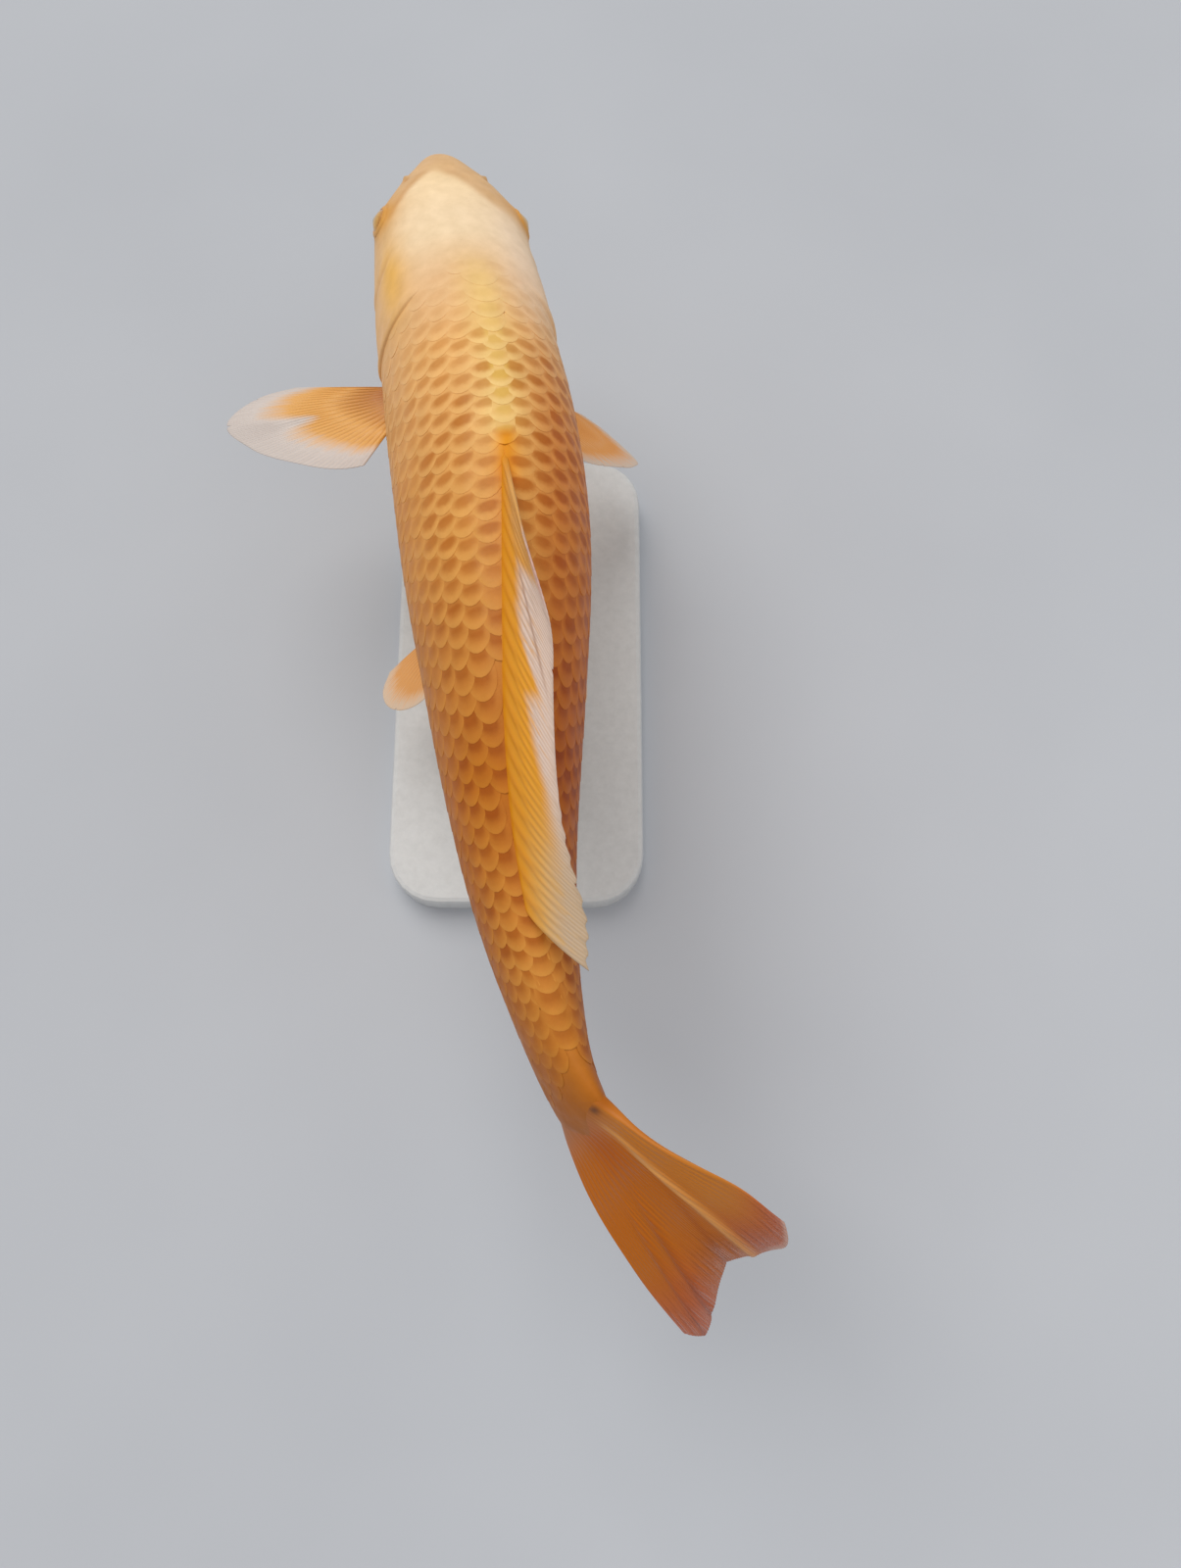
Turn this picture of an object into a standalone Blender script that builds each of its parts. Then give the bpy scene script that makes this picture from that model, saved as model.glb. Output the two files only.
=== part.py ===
"""Koi carp, life size, as a still display model on a plain stand.

Metres, +Z up. The head points along +Y and the fish's right side faces +X.
The origin is the middle of the stand's underside, on the floor.
The fish is described along its spine: a share of the standard length (snout to
tail root), an angle round the section, and millimetres across it. The spine
bends in plan and each section leans, so every fin follows the body's pose.
"""

import math
from bisect import bisect_right

import bmesh
import bpy
from mathutils import Matrix, Vector

MM = 0.001

# ---- driving dimensions -------------------------------------------------
STANDARD_LENGTH = 314 * MM  # snout to tail root
SPINE_HEIGHT = 104 * MM  # spine above the floor
SPINE_MIDDLE = (-0.002, 0.004)  # plan position of the spine over the stand
MIDDLE_SHARE = 0.475  # share of the length that lies there
PARTING = 0.5 * MM  # cut between two pieces of the body
FIT_GAP = 0.3 * MM  # gap of a fin, eye or rod in the body

# Share of the length, heading of the spine and lean of the back to the
# fish's right, in degrees. A heading turns the tail end towards +X.
POSE = (
    (0.00, 10.0, 7),
    (0.10, 8.4, 11),
    (0.22, 9.4, 13),
    (0.36, 8.8, 12),
    (0.50, 5.8, 7.5),
    (0.65, 4.6, 4),
    (0.76, 6.6, 3),
    (0.88, 13.5, 5),
    (0.95, 18.0, 11),
    (1.02, 32.0, 20),
    (1.10, 42.0, 28),
    (1.26, 50.0, 30),
)

# Share of the length, then in millimetres: half width, rise above and drop
# below the widest level, that level from the spine; and how full the section
# is (2 is an ellipse, more is squarer).
SECTIONS = (
    (0.00, 0.0, 0.0, 0.0, -6.8, 2.0),
    (0.01, 5.0, 6.6, 7.4, -6.2, 2.2),
    (0.04, 11.2, 14.0, 15.2, -5.2, 2.3),
    (0.10, 22.2, 21.4, 22.0, -3.6, 2.4),
    (0.17, 26.0, 28.2, 26.6, -2.6, 2.3),
    (0.26, 27.4, 35.0, 34.0, -1.2, 2.1),
    (0.37, 28.9, 39.0, 42.0, 1.5, 2.0),
    (0.50, 27.9, 39.4, 46.0, 3.0, 2.0),
    (0.645, 22.5, 34.0, 39.0, 2.4, 2.0),
    (0.81, 15.0, 23.2, 23.6, 1.0, 2.0),
    (0.93, 9.0, 18.4, 18.2, 0.2, 2.0),
    (1.00, 5.0, 18.2, 18.2, 0.0, 2.0),
    (1.04, 1.6, 17.4, 17.4, 0.0, 2.0),
)
BODY_END = SECTIONS[-1][0]

# Gill opening, as shares of the length at the nape, flank and throat.
GILL_NAPE, GILL_FLANK, GILL_THROAT = 0.225, 0.265, 0.190
GILL_COVER_LENGTH = 0.075  # share
GILL_COVER_ARC = (-52, 38)  # degrees below and above the widest level
GILL_COVER_DEPTH = 2.2  # mm into the head
GILL_COVER_PROUD = 0.5  # mm

EYE_SHARE, EYE_ANGLE = 0.116, 22  # along the body, degrees above widest
EYE_RADIUS, EYE_SUNK = 5.4, 4.1  # mm
ORBIT_SWELL, ORBIT_SPAN, ORBIT_ARC = 1.3, 0.024, 20  # mm, share, degrees

TRUNK_SPLIT, TAIL_SPLIT = 0.50, 0.86  # shares where the body is parted
RING_SIDES = 32

SKIN = (0.93, 0.50, 0.13)
HEAD_SKIN = (0.95, 0.74, 0.42)
FIN = (0.93, 0.55, 0.22)
STEEL = (0.62, 0.62, 0.63)
PLINTH = (0.80, 0.79, 0.76)


# ---- curves --------------------------------------------------------------
def curve_through(knots, values, x):
    """Height at x of a smooth curve through the knots, level past its ends."""
    x = min(max(x, knots[0]), knots[-1])
    i = min(bisect_right(knots, x) - 1, len(knots) - 2)

    def slope(k):
        before, after = max(k - 1, 0), min(k + 1, len(knots) - 1)
        return (values[after] - values[before]) / (knots[after] - knots[before])

    span = knots[i + 1] - knots[i]
    t = (x - knots[i]) / span
    held = values[i] * (1 + 2 * t) * (1 - t) ** 2 + values[i + 1] * t * t * (3 - 2 * t)
    turned = slope(i) * t * (1 - t) ** 2 + slope(i + 1) * t * t * (t - 1)
    return held + turned * span


def column(table, index):
    return [row[index] for row in table]


def mix(a, b, t):
    return a + (b - a) * t


SECTION_KNOTS = [math.sqrt(share) for share in column(SECTIONS, 0)]  # round nose


def section(share):
    """Half width, rise, drop, widest level (metres) and fullness at a share."""
    knot = math.sqrt(max(share, 0))
    found = [curve_through(SECTION_KNOTS, column(SECTIONS, i), knot) for i in range(1, 6)]
    return [value * MM for value in found[:4]] + [found[4]]


def heading(share):
    return math.radians(curve_through(column(POSE, 0), column(POSE, 1), share))


def lean(share):
    return math.radians(curve_through(column(POSE, 0), column(POSE, 2), share))


def trace_spine(steps=260, last=1.30):
    """Plan points of the spine, walked from the snout tailwards."""
    stride = last / steps
    points = [Vector((0, 0))]
    for i in range(steps):
        angle = heading((i + 0.5) * stride)
        step = Vector((math.sin(angle), -math.cos(angle))) * stride * STANDARD_LENGTH
        points.append(points[-1] + step)
    middle = points[round(MIDDLE_SHARE / stride)]
    return [p - middle + Vector(SPINE_MIDDLE) for p in points], stride


SPINE, STRIDE = trace_spine()


def spine_point(share):
    place = min(max(share / STRIDE, 0), len(SPINE) - 1.001)
    i = int(place)
    flat = SPINE[i].lerp(SPINE[i + 1], place - i)
    return Vector((flat.x, flat.y, SPINE_HEIGHT))


def frame_at(share):
    """Tailward, rightward and upward directions, before the body's lean."""
    angle = heading(share)
    back = Vector((math.sin(angle), -math.cos(angle), 0))
    right = Vector((math.cos(angle), math.sin(angle), 0))
    return back, right, Vector((0, 0, 1))


def place(share, across, up):
    """World point of a spot given along the spine and across the section."""
    _, right, top = frame_at(share)
    tilt = lean(share)
    sideways = right * math.cos(tilt) - top * math.sin(tilt)
    upward = top * math.cos(tilt) + right * math.sin(tilt)
    return spine_point(share) + sideways * across + upward * up


def orbit_swell(share, angle):
    """How far the rim of an eye socket lifts the head, in metres."""
    side = 1 if math.cos(angle) >= 0 else -1
    off = math.degrees(math.atan2(math.sin(angle), side * math.cos(angle))) - EYE_ANGLE
    along = (share - EYE_SHARE) / ORBIT_SPAN
    return ORBIT_SWELL * MM * math.exp(-(along**2) - (off / ORBIT_ARC) ** 2)


def body_point(share, angle, grow=0.0):
    """Point of the body's surface. Angle 0 is the right side and 90 degrees the back."""
    width, rise, drop, level, fullness = section(share)
    grow += orbit_swell(share, angle)
    c, s = math.cos(angle), math.sin(angle)
    height = (rise if s > 0 else drop) + grow
    across = math.copysign(abs(c) ** (2 / fullness), c) * (width + grow)
    up = level + math.copysign(abs(s) ** (2 / fullness), s) * height
    return place(share, across, up)


def gill_share(angle):
    """Share of the length at which the gill opening crosses this angle."""
    side = abs(math.cos(angle)) ** 1.4
    middle = GILL_NAPE if math.sin(angle) > 0 else GILL_THROAT
    return mix(middle, GILL_FLANK, side)


# ---- making objects --------------------------------------------------------
def material(name, colour, roughness, metallic=0.0):
    made = bpy.data.materials.new(name)
    made.use_nodes = True
    shader = made.node_tree.nodes["Principled BSDF"]
    shader.inputs["Base Color"].default_value = (*colour, 1)
    shader.inputs["Roughness"].default_value = roughness
    shader.inputs["Metallic"].default_value = metallic
    return made


def finish(name, bm, finish_material, smooth=True):
    mesh = bpy.data.meshes.new(name)
    bmesh.ops.recalc_face_normals(bm, faces=bm.faces)
    bm.to_mesh(mesh)
    bm.free()
    if smooth:
        mesh.shade_smooth()
    obj = bpy.data.objects.new(name, mesh)
    bpy.context.scene.collection.objects.link(obj)
    if finish_material:
        mesh.materials.append(finish_material)
    return obj


def as_cutter(obj):
    obj.hide_render = True
    obj.display_type = "WIRE"
    return obj


def cut(obj, *cutters):
    for cutter in cutters:
        modifier = obj.modifiers.new("cut_" + cutter.name, "BOOLEAN")
        modifier.operation = "DIFFERENCE"
        modifier.object = cutter
        modifier.solver = "EXACT"


def loft(bm, rings):
    """Closed skin over rings of points, each end closed by a fan on its middle."""
    loops = [[bm.verts.new(p) for p in ring] for ring in rings]
    sides = len(loops[0])
    for low, high in zip(loops, loops[1:]):
        for i in range(sides):
            j = (i + 1) % sides
            bm.faces.new((low[i], low[j], high[j], high[i]))
    for loop in (loops[0], loops[-1]):
        middle = bm.verts.new(sum((v.co for v in loop), Vector()) / sides)
        for i in range(sides):
            bm.faces.new((loop[i], loop[(i + 1) % sides], middle))


def round_angles(sides=RING_SIDES):
    return [2 * math.pi * i / sides for i in range(sides)]


def body_rings(start, end, count, grow=0.0, ease=1.0):
    """Rings from share start(angle) to share end(angle); ease crowds them forwards."""
    for i in range(count + 1):
        t = (i / count) ** ease
        yield [body_point(mix(start(a), end(a), t), a, grow) for a in round_angles()]


def tube(bm, points, radii, sides=6):
    """Round tube along a path, with its own radius at each point."""
    rings = []
    side = None
    for i, point in enumerate(points):
        along = (points[min(i + 1, len(points) - 1)] - points[max(i - 1, 0)]).normalized()
        side = (side or Vector((0.1, 0.2, 1))).cross(along).cross(along).normalized() * -1
        other = along.cross(side)
        rings.append(
            [
                point + (side * math.cos(a) + other * math.sin(a)) * radii[i]
                for a in round_angles(sides)
            ]
        )
    loft(bm, rings)


# ---- the body ----------------------------------------------------------------
def body_cutter():
    """The whole body, grown by the fit gap: what fins and rods are trimmed to."""
    bm = bmesh.new()
    rings = body_rings(lambda a: 0.0004, lambda a: BODY_END + 0.001, 44, FIT_GAP, ease=1.5)
    loft(bm, rings)
    return as_cutter(finish("body_clearance", bm, None))


def head(skin):
    bm = bmesh.new()
    loft(bm, body_rings(lambda a: 0.0004, gill_share, 16, ease=1.7))
    return finish("head", bm, skin)


def trunk_pieces(skin):
    """Shoulder, rear trunk and tail stalk, parted by thin cuts."""
    gap = PARTING / STANDARD_LENGTH
    spans = (
        ("trunk_front", lambda a: gill_share(a) + gap, lambda a: TRUNK_SPLIT, 9),
        ("trunk_rear", lambda a: TRUNK_SPLIT + gap, lambda a: TAIL_SPLIT, 10),
        ("tail_stalk", lambda a: TAIL_SPLIT + gap, lambda a: BODY_END, 8),
    )
    for name, start, end, count in spans:
        bm = bmesh.new()
        loft(bm, body_rings(start, end, count))
        finish(name, bm, skin)


def gill_plate(side, extra):
    """Plate of the head's side, from its front arc to the gill opening."""
    low, high = (math.radians(a) for a in GILL_COVER_ARC)
    margin = extra / 25  # radians, at about 25 mm from the spine
    rows, columns = 9, 5
    bm = bmesh.new()
    layers = []
    # The inner face ends further forward, clear of the domed front of the trunk.
    for grow, short in ((GILL_COVER_PROUD + extra, 0.001), (-GILL_COVER_DEPTH - extra, 0.0045)):
        layer = []
        for i in range(rows + 1):
            angle = mix(low - margin, high + margin, i / rows)
            angle = angle if side > 0 else math.pi - angle
            rear = gill_share(angle) - short
            taper = 1 - 0.45 * abs(2 * i / rows - 1) ** 3  # rounded front corners
            front = rear - GILL_COVER_LENGTH * taper - extra * MM / STANDARD_LENGTH
            rear += 8 * extra * MM / STANDARD_LENGTH
            layer.append(
                [
                    bm.verts.new(body_point(mix(front, rear, j / columns), angle, grow * MM))
                    for j in range(columns + 1)
                ]
            )
        layers.append(layer)
    outer, inner = layers
    for i in range(rows):
        for j in range(columns):
            for grid in layers:
                bm.faces.new((grid[i][j], grid[i][j + 1], grid[i + 1][j + 1], grid[i + 1][j]))
    rim = [(0, j) for j in range(columns)]
    rim += [(i, columns) for i in range(rows)]
    rim += [(rows, j) for j in range(columns, 0, -1)]
    rim += [(i, 0) for i in range(rows, 0, -1)]
    for (a, b), (c, d) in zip(rim, rim[1:] + rim[:1]):
        bm.faces.new((outer[a][b], outer[c][d], inner[c][d], inner[a][b]))
    return bm


def lip_path(front, reach, half_gape, steps=14):
    """Arc round the underside of the snout tip, from mouth corner to corner."""
    points = []
    for i in range(steps + 1):
        t = 2 * i / steps - 1
        share = front + reach * t * t
        angle = -math.acos(t * half_gape * MM / section(share)[0])
        points.append(body_point(share, angle, -0.6 * MM))
    return points


def lip(name, front, reach, half_gape, radius, skin):
    """A lip and the groove that it fills in the head."""
    pieces = []
    for extra, label in ((0.0, name), (FIT_GAP, name + "_groove")):
        bm = bmesh.new()
        path = lip_path(front, reach, half_gape)
        ends = len(path) - 1
        radii = [
            (radius * (0.5 + 0.5 * math.sin(math.pi * i / ends) ** 0.5)) * MM + extra
            for i in range(ends + 1)
        ]
        tube(bm, path, radii)
        pieces.append(finish(label, bm, skin))
    return pieces[0], as_cutter(pieces[1])


def eye(name, side, finish_material):
    """An eyeball and the socket that it sits in."""
    angle = math.radians(EYE_ANGLE)
    angle = angle if side > 0 else math.pi - angle
    ahead = body_point(EYE_SHARE - 0.01, angle) - body_point(EYE_SHARE + 0.01, angle)
    above = body_point(EYE_SHARE, angle + 0.05) - body_point(EYE_SHARE, angle - 0.05)
    centre = body_point(EYE_SHARE, angle) - ahead.cross(above).normalized() * EYE_SUNK * MM
    made = []
    for radius, label in ((EYE_RADIUS * MM, name), (EYE_RADIUS * MM + FIT_GAP, name + "_socket")):
        bm = bmesh.new()
        bmesh.ops.create_uvsphere(
            bm, u_segments=16, v_segments=10, radius=radius, matrix=Matrix.Translation(centre)
        )
        made.append(finish(label, bm, finish_material))
    return as_cutter(made[1])


def barbel(name, side, share, angle, length, thick, skin, cutters):
    """Feeler that leaves the lip, hangs a little and trails backwards."""
    turn = math.radians(angle)
    turn = turn if side > 0 else math.pi - turn
    root = body_point(share, turn, -1.2 * MM)
    back, right, top = frame_at(share)
    steps = 8
    points = []
    for i in range(steps + 1):
        t = i / steps
        out = right * side * (1.9 * math.sin(1.9 * t)) * 2
        down = top * -(0.62 * length) * math.sin(1.25 * t)
        trail = back * length * (0.25 * t + 0.55 * t * t)
        points.append(root + (out + down + trail) * MM)
    radii = [thick / 2 * MM * (1 - 0.5 * i / steps) for i in range(steps + 1)]
    bm = bmesh.new()
    tube(bm, points, radii, sides=6)
    cut(finish(name, bm, skin), *cutters)


# ---- fins ----------------------------------------------------------------------
def fin(name, sheet, rays, steps, root_thick, edge_thick, skin, cutter):
    """A tapering blade over sheet(u, v): u runs from ray to ray, v outwards."""
    bm = bmesh.new()
    bmesh.ops.create_grid(bm, x_segments=rays, y_segments=steps, size=0.5)
    shares = {}
    for vert in bm.verts:
        u, v = vert.co.x + 0.5, vert.co.y + 0.5
        shares[vert.index] = v
        vert.co = sheet(u, v)
    obj = finish(name, bm, skin)
    taper = obj.vertex_groups.new(name="taper")
    for index, v in shares.items():
        taper.add([index], (1 - v) ** 1.3, "REPLACE")
    solid = obj.modifiers.new("thickness", "SOLIDIFY")
    solid.thickness = root_thick * MM
    solid.offset = 0
    solid.vertex_group = "taper"
    solid.thickness_vertex_group = edge_thick / root_thick
    cut(obj, cutter)
    return obj


DORSAL_BASE = (0.441, 0.834)  # shares
# Share of the fin's base, then ray length in mm, sweep above the back and
# extra lean to the right in degrees.
DORSAL_RAYS = (
    (0.00, 35, 28, 12),
    (0.08, 40, 27, 24),
    (0.16, 40, 27, 32),
    (0.30, 35, 29, 36),
    (0.60, 31, 32, 38),
    (0.85, 29, 36, 44),
    (1.00, 23, 38, 38),
)


def dorsal_sheet(u, v):
    length, sweep, tilt = (
        curve_through(column(DORSAL_RAYS, 0), column(DORSAL_RAYS, i), u) for i in (1, 2, 3)
    )
    base = mix(*DORSAL_BASE, u)
    sunk = 2.0
    reach = v * (length + sunk / math.sin(math.radians(sweep)))
    share = base + reach * math.cos(math.radians(sweep)) * MM / STANDARD_LENGTH
    height = reach * math.sin(math.radians(sweep)) - sunk
    over = math.radians(tilt) * (0.65 + 0.5 * v)
    _, rise, _, level, _ = section(base)
    _, rise_there, _, level_there, _ = section(min(share, 1.0))
    back_line = mix(rise + level, rise_there + level_there, v)
    across = max(height, 0) * math.sin(over) * MM
    return place(share, across, back_line + height * math.cos(over) * MM)


TAIL_UPPER, TAIL_LOWER, TAIL_FORK = 60, 70.5, 55  # mm past the tail root
TAIL_SPREAD, TAIL_ROOT = 37.4, 16.5  # half span, half root
TAIL_FOLD, TAIL_BEND = 6.0, 3.2  # mm the middle and the upper tip stand to the right


def tail_sheet(u, v):
    """Tail fin: u from the lower (0) to the upper edge (1), folded to the right."""
    w = 2 * u - 1
    tip = TAIL_UPPER if w > 0 else TAIL_LOWER
    rounding = 6.7 * max(0.0, (abs(w) - 0.72) / 0.28) ** 2
    reach = mix(TAIL_FORK, tip, abs(w) ** 0.9) - rounding
    spread = math.copysign(abs(w) ** 0.92, w) * TAIL_SPREAD
    up = mix(w * TAIL_ROOT, spread, v**0.61)
    share = 0.995 + (reach + 1.5) * v * MM / STANDARD_LENGTH
    across = TAIL_FOLD * (1 - math.sqrt(w * w + 0.03)) * v**1.7
    across += TAIL_BEND * max(0.0, w) ** 2 * v * v
    return place(share, across * MM, up * MM)


ANAL_BASE = (0.770, 0.852)  # shares


def anal_sheet(u, v):
    """Anal fin, swept back and down from the belly line."""
    base = mix(*ANAL_BASE, u)
    length = curve_through((0, 0.15, 0.5, 1), (37, 38, 29, 19), u)
    sweep = math.radians(mix(44, 34, u))
    sunk = 2.0
    reach = v * (length + sunk / math.sin(sweep))
    share = base + reach * math.cos(sweep) * MM / STANDARD_LENGTH
    depth = reach * math.sin(sweep) - sunk
    _, _, drop, level, _ = section(base)
    lag = 0.10 * max(depth, 0)
    return place(share, lag * MM, level - drop - depth * MM)


# Share across the fin from its leading edge, ray length in mm, angle of the
# ray from the fin's own axis in degrees.
PECTORAL_RAYS = ((0, 49, -10), (0.15, 57, -5), (0.35, 60, 3), (0.6, 50, 14), (0.8, 36, 30), (1, 25, 62))
PELVIC_RAYS = ((0, 36, -14), (0.2, 41, -7), (0.45, 40, 4), (0.75, 31, 18), (1, 19, 34))


def paired_sheet(side, share, angle, sweep, droop, pitch, rays, root, curl):
    """Sheet of a fin that fans from a short root low on the flank.

    Sweep turns its axis tailwards, droop turns it down, pitch rolls it about
    that axis, and curl lifts its outer end, in degrees and mm.
    """
    turn = math.radians(angle)
    turn = turn if side > 0 else math.pi - turn
    start = body_point(share, turn, -2.5 * MM)
    back, right, top = frame_at(share)
    sweep, droop, pitch = (math.radians(a) for a in (sweep, droop, pitch))
    level = right * side * math.cos(sweep) + back * math.sin(sweep)
    outward = level * math.cos(droop) - top * math.sin(droop)
    rear = (back - outward * back.dot(outward)).normalized()
    upper = rear.cross(outward) * -side
    chord = rear * math.cos(pitch) - upper * math.sin(pitch)
    normal = upper * math.cos(pitch) + rear * math.sin(pitch)

    def sheet(u, v):
        length, fan = (curve_through(column(rays, 0), column(rays, i), u) for i in (1, 2))
        fan = math.radians(fan)
        out, aft = v * length * math.cos(fan), v * length * math.sin(fan) + mix(-root, root, u)
        lift = curl * (v * length / 60) ** 2
        return start + (outward * out + chord * aft + normal * lift) * MM

    return sheet


# ---- the stand -------------------------------------------------------------------
BASE_SIZE = (0.092, 0.176, 0.012)
ROD_SHARES = (0.335, 0.615)
ROD_RADIUS = 3.0 * MM
COLLAR_RADIUS, COLLAR_HEIGHT = 8.5 * MM, 5.0 * MM


def stand_base(finish_material):
    bm = bmesh.new()
    bmesh.ops.create_cube(bm, size=1)
    bmesh.ops.scale(bm, vec=BASE_SIZE, verts=bm.verts)
    bmesh.ops.translate(bm, vec=(0, 0, BASE_SIZE[2] / 2), verts=bm.verts)
    upright = [e for e in bm.edges if abs(e.verts[0].co.z - e.verts[1].co.z) > 0.5 * BASE_SIZE[2]]
    bmesh.ops.bevel(bm, geom=upright, offset=0.018, segments=6, profile=0.5, affect="EDGES", material=-1)
    top = [
        e
        for e in bm.edges
        if all(v.co.z > 0.9 * BASE_SIZE[2] for v in e.verts) and len(e.link_faces) == 2
    ]
    bmesh.ops.bevel(bm, geom=top, offset=0.0018, segments=2, profile=0.5, affect="EDGES", material=-1)
    finish("stand_base", bm, finish_material, smooth=False)


def lathe(name, profile, centre, finish_material, sides=20):
    """Turned piece: profile is (radius, height) from its underside to its top."""
    bm = bmesh.new()
    verts = [bm.verts.new((radius, 0, height)) for radius, height in profile]
    edges = [bm.edges.new(pair) for pair in zip(verts, verts[1:])]
    if profile[0][0] > 0:
        edges.append(bm.edges.new((verts[-1], verts[0])))
    bmesh.ops.spin(
        bm,
        geom=verts + edges,
        cent=(0, 0, 0),
        axis=(0, 0, 1),
        angle=2 * math.pi,
        steps=sides,
        use_merge=True,
    )
    bmesh.ops.remove_doubles(bm, verts=bm.verts, dist=1e-6)
    bmesh.ops.translate(bm, vec=centre, verts=bm.verts)
    return finish(name, bm, finish_material, smooth=False)


def rods(steel, cutter):
    """Two rods from the base up to the belly's lowest line, each with a collar."""
    top = BASE_SIZE[2]
    for label, share in zip(("front", "rear"), ROD_SHARES):
        belly = min((body_point(share, math.radians(a)) for a in range(200, 341, 2)), key=lambda p: p.z)
        foot = Vector((belly.x, belly.y, 0))
        low, high = top + FIT_GAP, belly.z + 4 * MM
        rod = lathe("stand_rod_" + label, ((0, low), (ROD_RADIUS, low), (ROD_RADIUS, high), (0, high)), foot, steel)
        cut(rod, cutter)
        bore = ROD_RADIUS + FIT_GAP
        edge = 1.2 * MM
        ring = (
            (bore, low),
            (COLLAR_RADIUS, low),
            (COLLAR_RADIUS, low + COLLAR_HEIGHT - edge),
            (COLLAR_RADIUS - edge, low + COLLAR_HEIGHT),
            (bore, low + COLLAR_HEIGHT),
        )
        lathe("stand_collar_" + label, ring, foot, steel)


# ---- the whole model ---------------------------------------------------------------
def main():
    for old in list(bpy.data.objects):
        bpy.data.objects.remove(old)
    skin = material("skin", SKIN, 0.35)
    head_skin = material("head_skin", HEAD_SKIN, 0.35)
    fin_skin = material("fin", FIN, 0.4)
    eye_gold = material("eye_gold", (0.60, 0.36, 0.08), 0.1)
    steel = material("steel", STEEL, 0.3, metallic=1.0)
    plinth = material("plinth", PLINTH, 0.45)

    clearance = body_cutter()
    trunk_pieces(skin)
    grooves = [
        lip("upper_lip", 0.004, 0.040, 10.0, 2.0, head_skin)[1],
        lip("lower_lip", 0.018, 0.020, 7.0, 1.6, head_skin)[1],
    ]
    recesses = []
    for side, label in ((-1, "left"), (1, "right")):
        finish("gill_cover_" + label, gill_plate(side, 0.0), head_skin)
        recess = finish("gill_recess_" + label, gill_plate(side, FIT_GAP / MM), None)
        recesses.append(as_cutter(recess))
        recesses.append(eye("eye_" + label, side, eye_gold))
    cut(head(head_skin), *grooves, *recesses)
    for side, label in ((-1, "left"), (1, "right")):
        trims = (clearance, *grooves)
        barbel("barbel_front_" + label, side, 0.026, -14, 7, 1.5, head_skin, trims)
        barbel("barbel_corner_" + label, side, 0.046, -30, 15, 1.8, head_skin, trims)

    fin("dorsal_fin", dorsal_sheet, 20, 4, 2.2, 0.7, fin_skin, clearance)
    fin("tail_fin", tail_sheet, 20, 6, 2.6, 0.7, fin_skin, clearance)
    fin("anal_fin", anal_sheet, 8, 4, 2.2, 0.7, fin_skin, clearance)
    fins = (
        ("pectoral_fin_left", (-1, 0.262, -40, -4, 4, 8, PECTORAL_RAYS, 5, 3)),
        ("pectoral_fin_right", (1, 0.262, -40, 14, 34, 24, PECTORAL_RAYS, 5, 3)),
        ("pelvic_fin_left", (-1, 0.495, -66, 34, 32, 10, PELVIC_RAYS, 3.5, 2)),
        ("pelvic_fin_right", (1, 0.495, -66, 46, 44, 10, PELVIC_RAYS, 3.5, 2)),
    )
    for name, facts in fins:
        fin(name, paired_sheet(*facts), 12, 5, 2.2, 0.7, fin_skin, clearance)

    stand_base(plinth)
    rods(steel, clearance)


main()
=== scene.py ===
import math

import bmesh
import bpy
import numpy as np
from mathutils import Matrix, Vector


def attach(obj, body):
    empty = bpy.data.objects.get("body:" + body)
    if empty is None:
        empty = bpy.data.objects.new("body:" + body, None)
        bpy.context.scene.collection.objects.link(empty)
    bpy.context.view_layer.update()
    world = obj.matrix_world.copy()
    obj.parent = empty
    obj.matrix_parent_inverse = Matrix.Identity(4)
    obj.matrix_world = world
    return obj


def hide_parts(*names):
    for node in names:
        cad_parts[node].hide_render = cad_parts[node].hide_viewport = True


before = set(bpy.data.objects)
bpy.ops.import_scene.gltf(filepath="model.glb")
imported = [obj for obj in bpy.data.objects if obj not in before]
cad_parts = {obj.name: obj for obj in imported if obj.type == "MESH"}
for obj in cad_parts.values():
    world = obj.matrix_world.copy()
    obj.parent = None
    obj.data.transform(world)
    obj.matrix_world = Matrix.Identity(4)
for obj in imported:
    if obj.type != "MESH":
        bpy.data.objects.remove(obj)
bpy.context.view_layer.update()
mm = 0.001
chance = np.random.default_rng(11)
sides = {"Left": -1, "Right": 1}

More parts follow.
